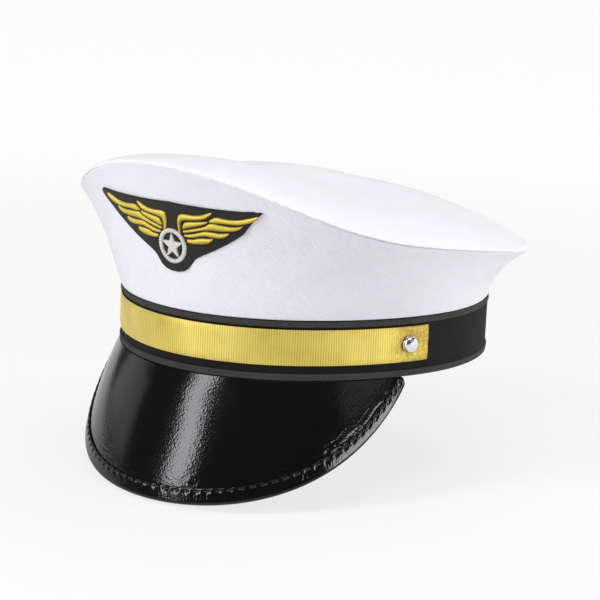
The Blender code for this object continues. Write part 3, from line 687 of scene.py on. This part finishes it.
def crown_cover():
    """Top panel of the crown, rolled over the rim into the seam and fuller at the back."""
    angle = full_turn(300)
    seam_share = seam_height(angle)
    seam, out = crown_side(angle, seam_share), normals(crown_side, angle, seam_share)
    rim = crown_side(angle, 1.0)
    rising = unit(rim - seam)
    speed = np.linalg.norm(crown_top(angle, np.full_like(angle, PROBE)) - rim, axis=-1) / PROBE
    mark, back = seam_mark(angle), towards_back(angle, 75, 115)

    def reach(creased, fuller, faint):
        """Length along the roll where the seam is creased, with more at the back, and where it is faint."""
        return (creased + fuller * back) * MM * mark + faint * MM * (1 - mark)

    first = reach(4.2, 1.4, 6.5) / speed
    joined = crown_top(angle, first)
    over = unit(crown_top(angle, first + PROBE) - joined)
    pucker = 1 + 0.22 * ripple(angle * ROUND / 9, np.zeros_like(angle), 21)
    start = seam - out * (0.45 * MM * mark)[:, None] + rising * 0.12 * MM
    bulge = start + out * (1.6 * MM * pucker * mark)[:, None] + rising * reach(1.2, 1.0, 2.0)[:, None]
    lead = joined - over * reach(3.2, 1.0, 3.8)[:, None]
    bulge[:, 2] += 0.9 * MM * back
    lead[:, 2] += 1.5 * MM * back
    rows = [seam - out * 1.2 * MM + rising * 0.5 * MM]
    for step in np.linspace(0, 1, 14):
        rest = 1 - step
        rows.append(rest ** 3 * start + 3 * rest ** 2 * step * bulge
                    + 3 * rest * step ** 2 * lead + step ** 3 * joined)
    for share in np.linspace(0, 1, 58)[1:-1] ** 1.35:
        points = crown_top(angle, first + (1 - first) * share)
        far = np.linalg.norm(points - rim, axis=-1)
        sway = ripple(points[:, 0] / 0.085, points[:, 1] / 0.085, 22) * TOP_SWAY * fade(far, 0.004, 0.03)
        pull = ripple(angle * ROUND / 26, far / 0.05, 23) * 0.16 * MM
        points[:, 2] += sway + pull * fade(far, 0.001, 0.006) * (1 - fade(far, 0.012, 0.030))
        rows.append(points)
    points = np.array(rows)
    return add_grid("crown_top_panel", points, white_top_twill, ("crown_top",), uv=points[..., :2],
                    ring=True, centre=True, thickness=CLOTH_THICKNESS)


def crown_inside():
    """Thin lining of the crown with loose folds."""
    angle = full_turn(260)
    levels = [(crown_side, share) for share in np.linspace(0, LINING_LEAVES_SIDE, 16)]
    levels += [(crown_top, share) for share in LINING_TOP]
    points = np.array([lifted(surface, angle, share, -LINING_DEPTH) for surface, share in levels])
    inwards = -np.array([normals(surface, angle, share) for surface, share in levels])
    order = np.arange(len(levels))
    height = order[:, None] / 6.0
    folds = 0.5 + 0.5 * ripple(angle[None] * ROUND / 22 + 0.3 * np.sin(height), height * 0.35, 31)
    fine = 0.5 + 0.5 * ripple(angle[None] * ROUND / 8, height * 0.5, 32)
    slack = np.interp(order, [0, 4, 14, 20, order[-1]], [0.15, 0.8, 1.0, 0.8, 0.1])[:, None]
    depth = (np.clip(folds, 0, 1.2) * LINING_FOLD + np.clip(fine, 0, 1.2) * 0.25 * MM) * slack
    return add_grid("crown_inside_lining", points + inwards * depth[..., None], white_lining,
                    ("crown_lining",), ring=True, centre=True, thickness=0.4 * MM)


side_front = crown_panel("crown_side_front", -SIDE_SEAM_ANGLE, SIDE_SEAM_ANGLE, 210)
side_back = crown_panel("crown_side_back", SIDE_SEAM_ANGLE, 2 * pi - SIDE_SEAM_ANGLE, 130)
top_panel = crown_cover()
lining = crown_inside()


# Band

def ring_band(name, profile, material, stands_for, seed, sway, flatter=0.0):
    """Closed hoop round the cap with a profile of outsets and heights, wound up its outer face first."""
    angle = full_turn(300)
    inner = min(outset for outset, _ in profile)
    rows = []
    for outset, height in profile:
        wave = ripple(angle * ROUND / 30, np.full_like(angle, height / 0.02), seed) * sway
        kept = 1 - flatter * towards_back(angle, *FLAT_FROM)
        rows.append(oval(angle, inner + (outset - inner) * kept + wave, height))
    return add_grid(name, np.array(rows), material, (stands_for,), ring=True, loop=True)


def strip_profile(inner, outer, bottom, top, soft, crisp=None):
    """Profile of a folded strip whose edges are rounded by a soft radius, or a crisper one at the bottom."""
    turn = np.linspace(0, pi / 2, 5)
    crisp = crisp or soft
    lower = [(outer - crisp * (1 - sin(a)), bottom + crisp * (1 - cos(a))) for a in turn]
    upper = [(outer - soft * (1 - cos(a)), top - soft * (1 - sin(a))) for a in turn]
    faces = [(outer, height) for height in np.linspace(bottom + soft, top - soft, 8)[1:-1]]
    return lower + faces + upper + [(inner, top), (inner, (bottom + top) / 2), (inner, bottom)]


FLAT_FROM = (72, 98)  # degrees from the front over which the strips grow flatter
STRIP_INNER = HATBAND_OUTER - 0.1 * MM
UPPER_STRIP = BAND_HEIGHT - BINDING_WIDTH
cover_profile = strip_profile(HATBAND_INNER, HATBAND_OUTER, 0.0, BAND_HEIGHT, 0.3 * MM)
upper_profile = strip_profile(STRIP_INNER, BINDING_OUTER, UPPER_STRIP, BAND_HEIGHT, 0.7 * MM)
lower_profile = strip_profile(STRIP_INNER, BINDING_OUTER, 0.0, BINDING_WIDTH, 0.7 * MM, 0.3 * MM)
tape_profile = strip_profile(0.0, SWEATBAND_OUTER, 0.0, SWEATBAND_HEIGHT, 0.35 * MM)
band_cover = ring_band("band_cover", cover_profile, black_weave, "hatband", 41, 0.08 * MM)
ring_band("band_upper_edge", upper_profile, black_strip, "band_upper_binding", 42, 0.05 * MM, 0.6)
ring_band("band_lower_edge", lower_profile, black_strip, "band_lower_binding", 43, 0.06 * MM, 0.45)
tape = ring_band("sweatband_tape", tape_profile, black_tape, "sweatband", 44, 0.05 * MM)


def hoop_stitches(outset, height, pitch, share, arch, flatter=0.0):
    """Paths of running stitches round the cap at a height."""
    fine = np.linspace(0, 2 * pi, 2001)
    length = run_length(oval(fine, np.full_like(fine, outset), height))
    count = round(length[-1] / pitch)
    bend = arch * (np.sin(np.linspace(0, pi, 6)) - 0.5)
    paths = []
    for index in range(count):
        angle = np.interp((index + np.linspace(0, share, 6)) * length[-1] / count, length, fine)
        paths.append(oval(angle, outset - flatter * towards_back(angle, *FLAT_FROM) + bend, height))
    return paths


band_paths, tape_paths = [], []
for height, flatter in ((UPPER_STRIP + 0.8 * MM, 0.66 * MM), (BINDING_WIDTH - 0.8 * MM, 0.50 * MM)):
    band_paths += hoop_stitches(BINDING_OUTER, height, BAND_STITCH, 0.72, 0.25 * MM, flatter)
for height in (2.0 * MM, SWEATBAND_HEIGHT - 2.0 * MM):
    tape_paths += hoop_stitches(0.0, height, TAPE_STITCH, 0.7, -0.25 * MM)
add_threads("band_stitches", band_paths, 0.20 * MM)
add_threads("sweatband_stitches", tape_paths, 0.18 * MM)


# Ribbon strap

def ribbon_strap():
    """Ribbed gold ribbon with toothed edges, drawn in where the studs hold it."""
    stud_point, _ = oval_frame(np.array([STUD_ANGLE]))
    reach = STUD_ANGLE + RIBBON_TAIL / np.linalg.norm(stud_point[0])
    fine = np.linspace(-reach, reach, 4001)
    length = run_length(oval(fine, np.full(4001, RIBBON_OUTER), 0.0))
    length = length - length[-1] / 2
    ribs = 2 * round(length[-1] / RIB_PITCH)
    along = np.linspace(length[0], length[-1], ribs * 6 + 1)
    stud_along = np.interp(STUD_ANGLE, fine, length)
    draw = np.random.default_rng(51)
    outer = np.linspace(0, 1, 11)
    width = RIBBON_TOP - RIBBON_BOTTOM
    rows, plane = [], []
    sections = [(share, 0.0) for share in outer] + [(share, 1.0) for share in outer[::-2]]
    for share, inner in sections:
        end = np.exp(-(length[-1] - np.abs(along)) / 0.0012)
        spot = along + np.sign(along) * end * draw.normal(0, END_FRAY)
        wander = 0.10 * MM * ripple(along / 0.012, np.full_like(along, share * 1.2), 52)
        phase = 2 * pi * (along + wander) / (2 * length[-1] / ribs)
        rib = 2 * np.abs(np.cos(phase / 2)) ** 0.6 - 1
        tooth = (abs(2 * share - 1) > 0.99) * EDGE_TOOTH * (rib - 1) / 2 * np.sign(share - 0.5)
        height = RIBBON_BOTTOM + width * share + tooth
        across = np.abs(along) - stud_along
        far = np.hypot(across, height - STUD_HEIGHT)
        around_stud = np.arctan2(height - STUD_HEIGHT, across)
        held = np.exp(-(far / HELD_REACH) ** 2)
        tight = 1 - np.exp(-(far / TIGHT_REACH) ** 2)
        pucker = np.sin(9 * around_stud + 3 * ripple(along / 0.01, height / 0.01, 53))
        pucker = pucker * np.exp(-((far - PUCKER_RING) / 0.0026) ** 2)
        if inner:
            outset = RIBBON_OUTER - 0.45 * MM - 0.15 * MM * held
        else:
            strong = 0.8 + 0.2 * ripple(along / 0.03, height / 0.03, 54)
            soft = round_over(np.minimum(share, 1 - share) * width, 0.25 * MM)
            outset = RIBBON_OUTER - 0.08 * MM + RIB_RISE * rib * strong * tight - 0.26 * MM * held
            crinkle = ripple(along / 0.0022, height / 0.0022, 55) * (1 - tight) * (1 - held)
            outset = outset + 0.15 * MM * pucker + 0.07 * MM * crinkle - soft
        rows.append(oval(np.interp(spot, length, fine), outset, height))
        plane.append(np.stack([phase / (2 * pi) * RIB_PITCH, height - RIBBON_BOTTOM], -1))
    return add_tubes("ribbon_strap", [np.array(rows)], gold_ribbon, ("gold_ribbon",), 75, plane,
                     "strap")


strap = ribbon_strap()


def stud(side, word):
    """Polished domed stud with a thin turned rim and a shank through the band."""
    bend = np.linspace(0.02, pi / 2, 22)
    profile = [(STUD_RADIUS * 0.965 * sin(a), 0.45 * MM + STUD_DOME * cos(a)) for a in bend]
    profile += [(STUD_RADIUS * share, height * MM) for share, height in STUD_RIM]
    profile += [(0.0030, -0.28 * MM), (SHANK_RADIUS, -0.28 * MM), (SHANK_RADIUS, -3.0 * MM), (0.0010, -3.1 * MM)]
    turn = full_turn(72)
    point, outwards = oval_frame(np.array([side * STUD_ANGLE]))
    heading = Vector((*outwards[0], 0))
    basis = np.array(heading.to_track_quat("Z", "Y").to_matrix())
    base = np.array([*point[0], STUD_HEIGHT]) + np.array(heading) * STUD_SEAT
    rows = []
    for across, height in profile[::-1]:
        local = np.stack([across * np.cos(turn), across * np.sin(turn), np.full_like(turn, height)], -1)
        rows.append(base + local @ basis.T)
    return add_grid("domed_stud_" + word, np.array(rows), chrome, ("side_stud_" + word,),
                    body=word + "_stud", ring=True, centre=True, sharp=35)


stud(1, "left")
stud(-1, "right")


# Visor

def visor_grid(columns, rise):
    """Angles and shares of the way up for a grid over the whole visor."""
    angle = np.linspace(-1, 1, columns)[None] * VISOR_HALF_ANGLE + np.zeros((len(rise), 1))
    return angle, rise[:, None] + np.zeros_like(angle)


def visor_skin():
    """Grained vinyl face of the visor, gathered a little beside its binding and turned in under the band."""
    near_root = [0.92, 0.94, 0.96, 0.975, 0.985, 0.991, 0.995, 0.998, 1.0]
    angle, up = visor_grid(280, np.concatenate([np.linspace(0, 0.9, 56), near_root]))
    from_edge, from_root = up * visor_length(angle), (1 - up) * visor_length(angle)
    along = angle * VISOR_ARC
    near = 1 - fade(from_edge, 0.0075, 0.0200)
    patchy = np.clip(0.5 + 0.5 * ripple(along / 0.030, from_edge / 0.030, 61), 0, 1)
    drawn = ripple(along / 0.0065, from_edge / 0.0030 + along / 0.02, 62) * 0.10 * MM * near * patchy
    sway = ripple(along / 0.05, from_edge / 0.05, 63) * 0.16 * MM
    corner = fade(np.abs(angle), radians(34), radians(54)) * fade(from_root, 0.0005, 0.004)
    drawn = drawn + ripple(along / 0.016, from_edge / 0.0019, 65) * 0.045 * MM * corner
    lift = drawn + sway * fade(from_root, 0.001, 0.01) - round_over(from_root, 0.12 * MM)
    tucked = [oval(angle[0], BINDING_OUTER - inset * MM, -drop * MM) for inset, drop in VISOR_TUCK]
    points = np.concatenate([lifted(visor_face, angle, up, lift), np.array(tucked)])
    return add_grid("visor_vinyl", points, black_vinyl, ("visor_skin",), thickness=0.5 * MM)


def visor_under():
    """Cloth lining under the visor."""
    angle, up = visor_grid(160, np.linspace(0, 1, 40))
    sway = ripple(angle * VISOR_ARC / 0.025, up * 2, 64) * 0.08 * MM
    points = lifted(visor_face, angle, up, sway - UNDER_DEPTH)
    return add_grid("visor_under_cloth", points, black_tape, ("visor_lining",), thickness=0.4 * MM)


def edge_angles(spacing):
    """Angles evenly spaced along the visor's edge, and the length along it."""
    fine = np.linspace(-VISOR_HALF_ANGLE, VISOR_HALF_ANGLE, 6001)
    length = run_length(visor_face(fine, np.zeros(6001)))
    even = np.linspace(0, length[-1], round(length[-1] / spacing) + 1)
    return np.interp(even, length, fine), even


def stitch_line(length):
    """Distance of the stitches from the visor's edge, which is less at its short corners."""
    return np.minimum(EDGE_BINDING_WIDTH - STITCH_INSET, 0.66 * length)


def visor_edging():
    """Vinyl binding folded round the visor's edge, gathered outside its stitches."""
    angle, along = edge_angles(0.00036)
    length = visor_length(angle)
    width = np.minimum(EDGE_BINDING_WIDTH, 0.9 * length)
    edge = visor_face(angle, np.zeros_like(angle))
    out = unit(edge - visor_face(angle, np.full_like(angle, PROBE)))
    raised = normals(visor_face, angle, 0.0)
    rows, sides, insides = [], [], []

    def add_flap(share, side):
        """One row of the flap over the visor (side 1) or under it (side -1)."""
        cover = EDGE_COVER - round_over(width * share, FLAP_ROUND)
        insides.append(width * (1 - share))
        sides.append(side)
        rows.append(lifted(visor_face, angle, insides[-1] / length, cover if side > 0 else -VISOR_STACK - cover))

    lip = np.array([0, 0.04, 0.09, 0.15, 0.22, 0.30, 0.38, 0.46, 0.55, 0.65, 0.75, 0.85, 0.94])
    for share in lip:
        add_flap(share, -1.0)
    half = VISOR_STACK / 2 + EDGE_COVER
    for turn in np.linspace(-pi / 2, pi / 2, 15):
        reach = EDGE_NOSE * max(cos(turn), 0.0) ** 0.8
        rows.append(edge - raised * VISOR_STACK / 2 + out * reach + raised * half * sin(turn))
        sides.append(sin(turn))
        insides.append(np.zeros_like(angle))
    for share in lip[::-1]:
        add_flap(share, 1.0)
    points, inside = np.array(rows), np.array(insides)
    flat = np.abs(np.array(sides))[:, None] > 0.9
    line = stitch_line(length)
    from_stitch = (along / STITCH_PITCH) % 1 - 0.5
    crossed = (inside - line) / (0.75 * MM)
    groove = np.exp(-crossed ** 2) * flat
    dimple = np.exp(-(from_stitch * STITCH_PITCH / (1.25 * MM)) ** 2) * groove
    loose = fade(line - inside, 0.2 * MM, 1.4 * MM) * fade(inside, 0.1 * MM, 1.6 * MM)
    skew = along + 0.25 * inside + 0.35 * MM * ripple(along / 0.008, inside / 0.006, 71)
    patchy = np.clip(0.55 + 0.6 * ripple(along / 0.022, inside / 0.02, 72), 0.1, 1.2)
    gathers = np.sin(2 * pi * skew / (1.05 * MM)) + 0.6 * np.sin(2 * pi * skew / (1.7 * MM) + 1.3)
    gathers = gathers * 0.055 * MM * patchy * loose
    puffed = 0.13 + 0.15 * fade(np.abs(angle), radians(22), radians(45))
    swell = -puffed * MM * np.cos(2 * pi * from_stitch) * np.exp(-(crossed / 1.5) ** 2) * flat
    lift = gathers + swell - 0.30 * MM * dimple - 0.08 * MM * groove
    points = points + grid_normals(points) * lift[..., None]
    return add_grid("visor_edging", points, edge_vinyl, ("visor_binding",), thickness=0.45 * MM,
                    sharp=80)


def edging_stitches():
    """Stitches through the visor's binding, above and below."""
    fine, along = edge_angles(0.0005)
    lift = EDGE_COVER - 0.22 * MM + 0.20 * MM * np.sin(np.linspace(0, pi, 8))
    paths = []
    for index in range(int(along[-1] / STITCH_PITCH)):
        spots = (index + 0.5) * STITCH_PITCH + np.linspace(-1.75, 1.75, 8) * MM
        if spots[0] < 2 * MM or spots[-1] > along[-1] - 2 * MM:
            continue
        angle = np.interp(spots, along, fine)
        up = stitch_line(visor_length(angle)) / visor_length(angle)
        paths += [lifted(visor_face, angle, up, lift), lifted(visor_face, angle, up, -VISOR_STACK - lift)]
    return add_threads("visor_stitches", paths, 0.27 * MM, ("visor_topstitch",))


visor_skin()
under = visor_under()
visor_edging()
edging_stitches()


# Badge

def patch_sheet(name, grow, lift, edge, material, nodes, thickness):
    """Sheet with the badge's outline, sharper at its +X tip, grown by a margin and rounded at its edge."""
    halves = (np.array(half) * [PATCH_STRETCH, 1] for half in (PATCH_TOP, PATCH_BOTTOM))
    upper, lower = (smooth_curve(half, 240) * MM for half in halves)
    tip = PATCH_TOP[-1][0] * PATCH_STRETCH * MM
    across = tip * np.sin(np.linspace(-1, 1, 181) * pi / 2) * 0.9995
    reach = np.abs(across)
    top = np.interp(reach, upper[:, 0], upper[:, 1])
    bottom = np.interp(reach, np.maximum.accumulate(lower[:, 0]), lower[:, 1])
    sharp_end = (across > 0) * np.clip((reach / tip - 0.8) / 0.2, 0, 1) ** 1.5
    rounded = (across < 0) * ROUND_TIP_DROP * fade(reach, 0.93 * tip, tip)
    top = top + (SHARP_TIP[1] - top) * sharp_end - rounded
    bottom = np.minimum(bottom + (SHARP_TIP[0] - bottom) * sharp_end, top - 0.02 * MM)
    share = (1 - np.cos(np.linspace(0, pi, 29))) / 2
    height = bottom + (top - bottom) * share[:, None]
    flat = np.stack([across + np.zeros_like(height), height], -1)
    outline = np.concatenate([upper, lower[::-1]])
    outline = np.concatenate([outline, outline * [-1, 1]])
    gap = np.min(np.linalg.norm(flat[:, :, None] - outline, axis=-1), axis=-1)
    margin = grow * np.exp(-(gap / (1.5 * MM)) ** 2)
    flat = flat + unit(flat - [0, PATCH_MIDDLE]) * margin[..., None]
    wide, height = flat[..., 0], flat[..., 1]
    raised = lift - np.minimum(round_over(gap, edge), lift) + ripple(wide / 0.01, height / 0.01, 81) * 0.03 * MM
    return add_grid(name, on_crown(wide, height, raised), material, nodes, thickness=thickness)


def padded(share):
    """Height of padded embroidery across its breadth, from -1 to 1."""
    return (1 - np.abs(share) ** 2.4) ** 0.6


def feather(upper, lower, side):
    """Grid of one satin-stitched feather, a padded loft with ridges of thread across it, and its plane."""
    upper, lower = np.array(upper) * [WING_STRETCH, 1], np.array(lower) * [WING_STRETCH, 1]
    long = run_length(smooth_curve(upper, 200) * MM)[-1]
    count = max(int(long / (THREAD_PITCH / 4.6)), 24)
    top, bottom = smooth_curve(upper, count) * MM, smooth_curve(lower, count) * MM
    middle, half = (top + bottom) / 2, (top - bottom) / 2
    along = run_length(middle)
    end = np.minimum(along, along[-1] - along)
    blunt = np.sqrt(np.clip(1 - np.clip(1 - end / (0.55 * MM), 0, 1) ** 2, 0.02, 1))
    half = half * blunt[:, None]
    width = np.linalg.norm(half, axis=-1)
    rows, plane = [], []

    def add_row(spot, lift, place, share):
        """One row along the feather, on the crown and in the plane of its stitches."""
        rows.append(on_crown(side * spot[:, 0] + WING_LEAN * spot[:, 1], spot[:, 1], lift))
        plane.append(np.stack([place, np.full(count, share)], -1))

    for share in np.linspace(-1, 1, 11):
        slanted = along + 0.35 * share * width
        thread = np.abs(np.sin(pi * slanted / THREAD_PITCH))
        spot = middle + half * share + unit(half) * (share * 0.22 * MM * (thread - 0.6))[:, None]
        puff = np.minimum(width * 0.95, EMBROIDERY_RISE) * padded(share)
        ridge = 0.12 * MM * thread * (0.35 + 0.65 * padded(share))
        add_row(spot, PATCH_LIFT - EMBROIDERY_SINK + puff + ridge, slanted, share)
    for share in (0.8, 0.0, -0.8):
        add_row(middle + half * share, PATCH_LIFT - EMBROIDERY_ROOT, along, -1.0)
    return np.array(rows)[:, ::side], np.array(plane)[:, ::side].reshape(-1, 2)


def wing(side, word):
    """Six overlapping satin-stitched feathers as one piece."""
    grids, planes = zip(*(feather(upper, lower, side) for upper, lower in FEATHERS))
    stands_for = ("badge_wing_" + word,)
    return add_tubes("badge_feathers_" + word, grids, gold_thread, stands_for, 80, planes)


def badge_ring():
    """Oval ring stitched over with cross threads."""
    turn = full_turn(420)
    notch = np.abs(np.sin(turn * 17 + 1.0))
    rows = []
    for share, raised in [(share, 1) for share in np.linspace(-1, 1, 13)] + [(0.8, 0), (0.0, 0), (-0.8, 0)]:
        breadth = RING_BREADTH / 2 * share * (0.80 + 0.32 * notch)
        across = (RING_HALF[0] - breadth) * np.sin(turn)
        up = -(RING_HALF[1] - breadth) * np.cos(turn)
        lift = PATCH_LIFT - EMBROIDERY_ROOT + np.zeros_like(turn)
        if raised:
            dome = padded(share)
            thread = 0.7 * np.abs(np.sin(turn * 42 + 0.5 * share)) + 1.2 * notch
            lift = PATCH_LIFT - EMBROIDERY_SINK + 0.7 * EMBROIDERY_RISE * dome + 0.16 * MM * thread * (0.3 + dome)
        rows.append(on_crown(across, up, lift))
    return add_grid("badge_oval", np.array(rows), silver_thread, ("badge_ring",), ring=True,
                    loop=True, sharp=80)


def badge_star():
    """Five-pointed star of satin stitches that slope from the middle of each arm."""
    turn = full_turn(200)
    fold = pi / 5
    from_point = np.abs((turn + fold) % (2 * fold) - fold)
    waist = STAR_WAIST * sin(fold)
    limit = waist / (np.sin(from_point) * (1 - STAR_WAIST * cos(fold)) + waist * np.cos(from_point))
    wide, high = STAR_HALF[0] * limit, STAR_HALF[1] * limit
    rows = [on_crown(wide * np.sin(turn), high * np.cos(turn), PATCH_LIFT - 0.3 * MM + 0 * turn)]
    for step in np.concatenate([[1.0], np.linspace(0.98, 0.05, 20)]):
        slope = np.clip((1 - step) * wide / (0.55 * MM), 0, 1) ** 0.55
        thread = np.abs(np.sin(pi * high * step * np.cos(from_point) / THREAD_PITCH))
        lift = PATCH_LIFT - EMBROIDERY_SINK + 0.75 * EMBROIDERY_RISE * slope + 0.04 * MM * thread
        rows.append(on_crown(wide * step * np.sin(turn), high * step * np.cos(turn), lift))
    return add_grid("badge_five_points", np.array(rows)[:, ::-1], silver_thread, ("badge_star",),
                    ring=True, centre=True, sharp=80)


patch_sheet("badge_backing", 0.35 * MM, 0.35 * MM, 0.2 * MM, white_felt, (), 0.2 * MM)
patch = patch_sheet("badge_felt", 0.0, PATCH_LIFT, 0.75 * MM, charcoal_felt, ("badge_patch",),
                    0.4 * MM)
wing(1, "left")
wing(-1, "right")
badge_ring()
badge_star()

# CAD pieces that stay as they are
for name, material in (
    ("band_stiffener", grey_board), ("visor_core", grey_board), ("crown_hoop", white_plastic),
    ("front_stay", white_plastic), ("stud_washer_left", chrome), ("stud_washer_right", chrome),
):
    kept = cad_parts[name]
    kept.data.materials.clear()
    kept.data.materials.append(material)

# Floor, light and camera
WORLD_STRENGTH = 0.12
FLOOR_HALF = 40.0
FLOOR_GAP = 0.0006
SHADOW_REACH = (0.25, 1.3)  # metres over which the floor turns from keeping the shadow to plain white

def lamp(name, azimuth, elevation, distance, size, power, colour=(1, 1, 1), aim=(0, 0, 0.03)):
    """Soft box that looks at the cap."""
    data = bpy.data.lights.new(name, "AREA")
    data.shape, data.size, data.size_y, data.energy = "RECTANGLE", size[0], size[1], power
    data.color = colour
    made = bpy.data.objects.new(name, data)
    side, high = radians(azimuth), radians(elevation)
    away = Vector((sin(side) * cos(high), -cos(side) * cos(high), sin(high)))
    made.location = Vector(aim) + away * distance
    made.rotation_euler = away.to_track_quat("Z", "Y").to_euler()
    bpy.context.scene.collection.objects.link(made)


def pale_floor():
    """Wide pale floor that looks nearly white and keeps the cap's shadow."""
    mesh = bpy.data.meshes.new("floor")
    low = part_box("visor_binding")[0][2] - FLOOR_GAP
    corners = ((-1, -1), (1, -1), (1, 1), (-1, 1))
    mesh.from_pydata([(x * FLOOR_HALF, y * FLOOR_HALF, low) for x, y in corners], [], [(0, 1, 2, 3)])
    floor = bpy.data.objects.new("floor", mesh)
    bpy.context.scene.collection.objects.link(floor)
    material, tree = look("pale_floor")
    tree.nodes.remove(tree.nodes["Principled BSDF"])
    matt = node(tree, "BsdfDiffuse", {"Color": (0.80, 0.80, 0.81, 1)}).outputs[0]
    white = node(tree, "Emission", {"Color": (1, 1, 1, 1), "Strength": 1.0}).outputs[0]
    rays = node(tree, "LightPath").outputs
    seen = calc(tree, "MAXIMUM", rays["Is Camera Ray"], rays["Is Glossy Ray"])
    seen = calc(tree, "MAXIMUM", seen, rays["Is Transmission Ray"])
    spot = node(tree, "NewGeometry").outputs["Position"]
    far = node(tree, "VectorMath", {0: spot}, operation="LENGTH").outputs["Value"]
    clear = spread(tree, far, 0.76, 0.97, *SHADOW_REACH, "SMOOTHSTEP")
    mixed = node(tree, "MixShader", {0: calc(tree, "MULTIPLY", seen, clear), 1: matt, 2: white}).outputs[0]
    tree.links.new(mixed, tree.nodes["Material Output"].inputs["Surface"])
    mesh.materials.append(material)


pale_floor()
world = bpy.data.worlds.new("studio")
bpy.context.scene.world = world
world.use_nodes = True
sky = world.node_tree.nodes["Background"]
sky.inputs["Color"].default_value = (1.0, 1.0, 1.0, 1)
sky.inputs["Strength"].default_value = WORLD_STRENGTH
lamp("key", -17, 29, 1.5, (0.36, 1.4), 18.5, (0.96, 0.95, 1.0))
lamp("fill_right", 50, 68, 2.0, (1.2, 0.7), 9.5)
lamp("side", 128, 18, 1.9, (0.8, 0.9), 17.0)
lamp("low_left", 90, 5, 2.2, (1.4, 0.25), 13.0)
lamp("glow_right", -78, 9, 1.6, (0.9, 0.5), 1.0)
lamp("glow_left", 84, 30, 1.8, (0.6, 0.6), 0.7)
lamp("rim", 185, 62, 2.0, (1.4, 0.8), 9.5)

CAMERA_AZIMUTH, CAMERA_ELEVATION, CAMERA_ROLL = radians(34.83), radians(11.68), radians(2.58)
CAMERA_DISTANCE = 0.9992
CAMERA_LENS, CAMERA_SENSOR = 115.545, 36.0
CAMERA_SHIFT = (3.00 * MM, 20.45 * MM)
CAP_MIDDLE = np.array([0, 0, 0.040])
level = np.array([cos(CAMERA_AZIMUTH), sin(CAMERA_AZIMUTH), 0])
ahead = np.array([sin(CAMERA_AZIMUTH), -cos(CAMERA_AZIMUTH), 0])
back = ahead * cos(CAMERA_ELEVATION) + np.array([0, 0, sin(CAMERA_ELEVATION)])
upright = np.cross(back, level)
right = level * cos(CAMERA_ROLL) + upright * sin(CAMERA_ROLL)
above = upright * cos(CAMERA_ROLL) - level * sin(CAMERA_ROLL)
eye = CAP_MIDDLE - CAMERA_SHIFT[0] * right - CAMERA_SHIFT[1] * above + CAMERA_DISTANCE * back
camera_data = bpy.data.cameras.new("camera")
camera_data.lens, camera_data.sensor_width = CAMERA_LENS, CAMERA_SENSOR
camera = bpy.data.objects.new("camera", camera_data)
pose = Matrix(np.stack([right, above, back], -1).tolist()).to_4x4()
pose.translation = Vector(eye)
camera.matrix_world = pose
bpy.context.scene.collection.objects.link(camera)
bpy.context.scene.camera = camera
bpy.context.scene.view_settings.view_transform = "Standard"
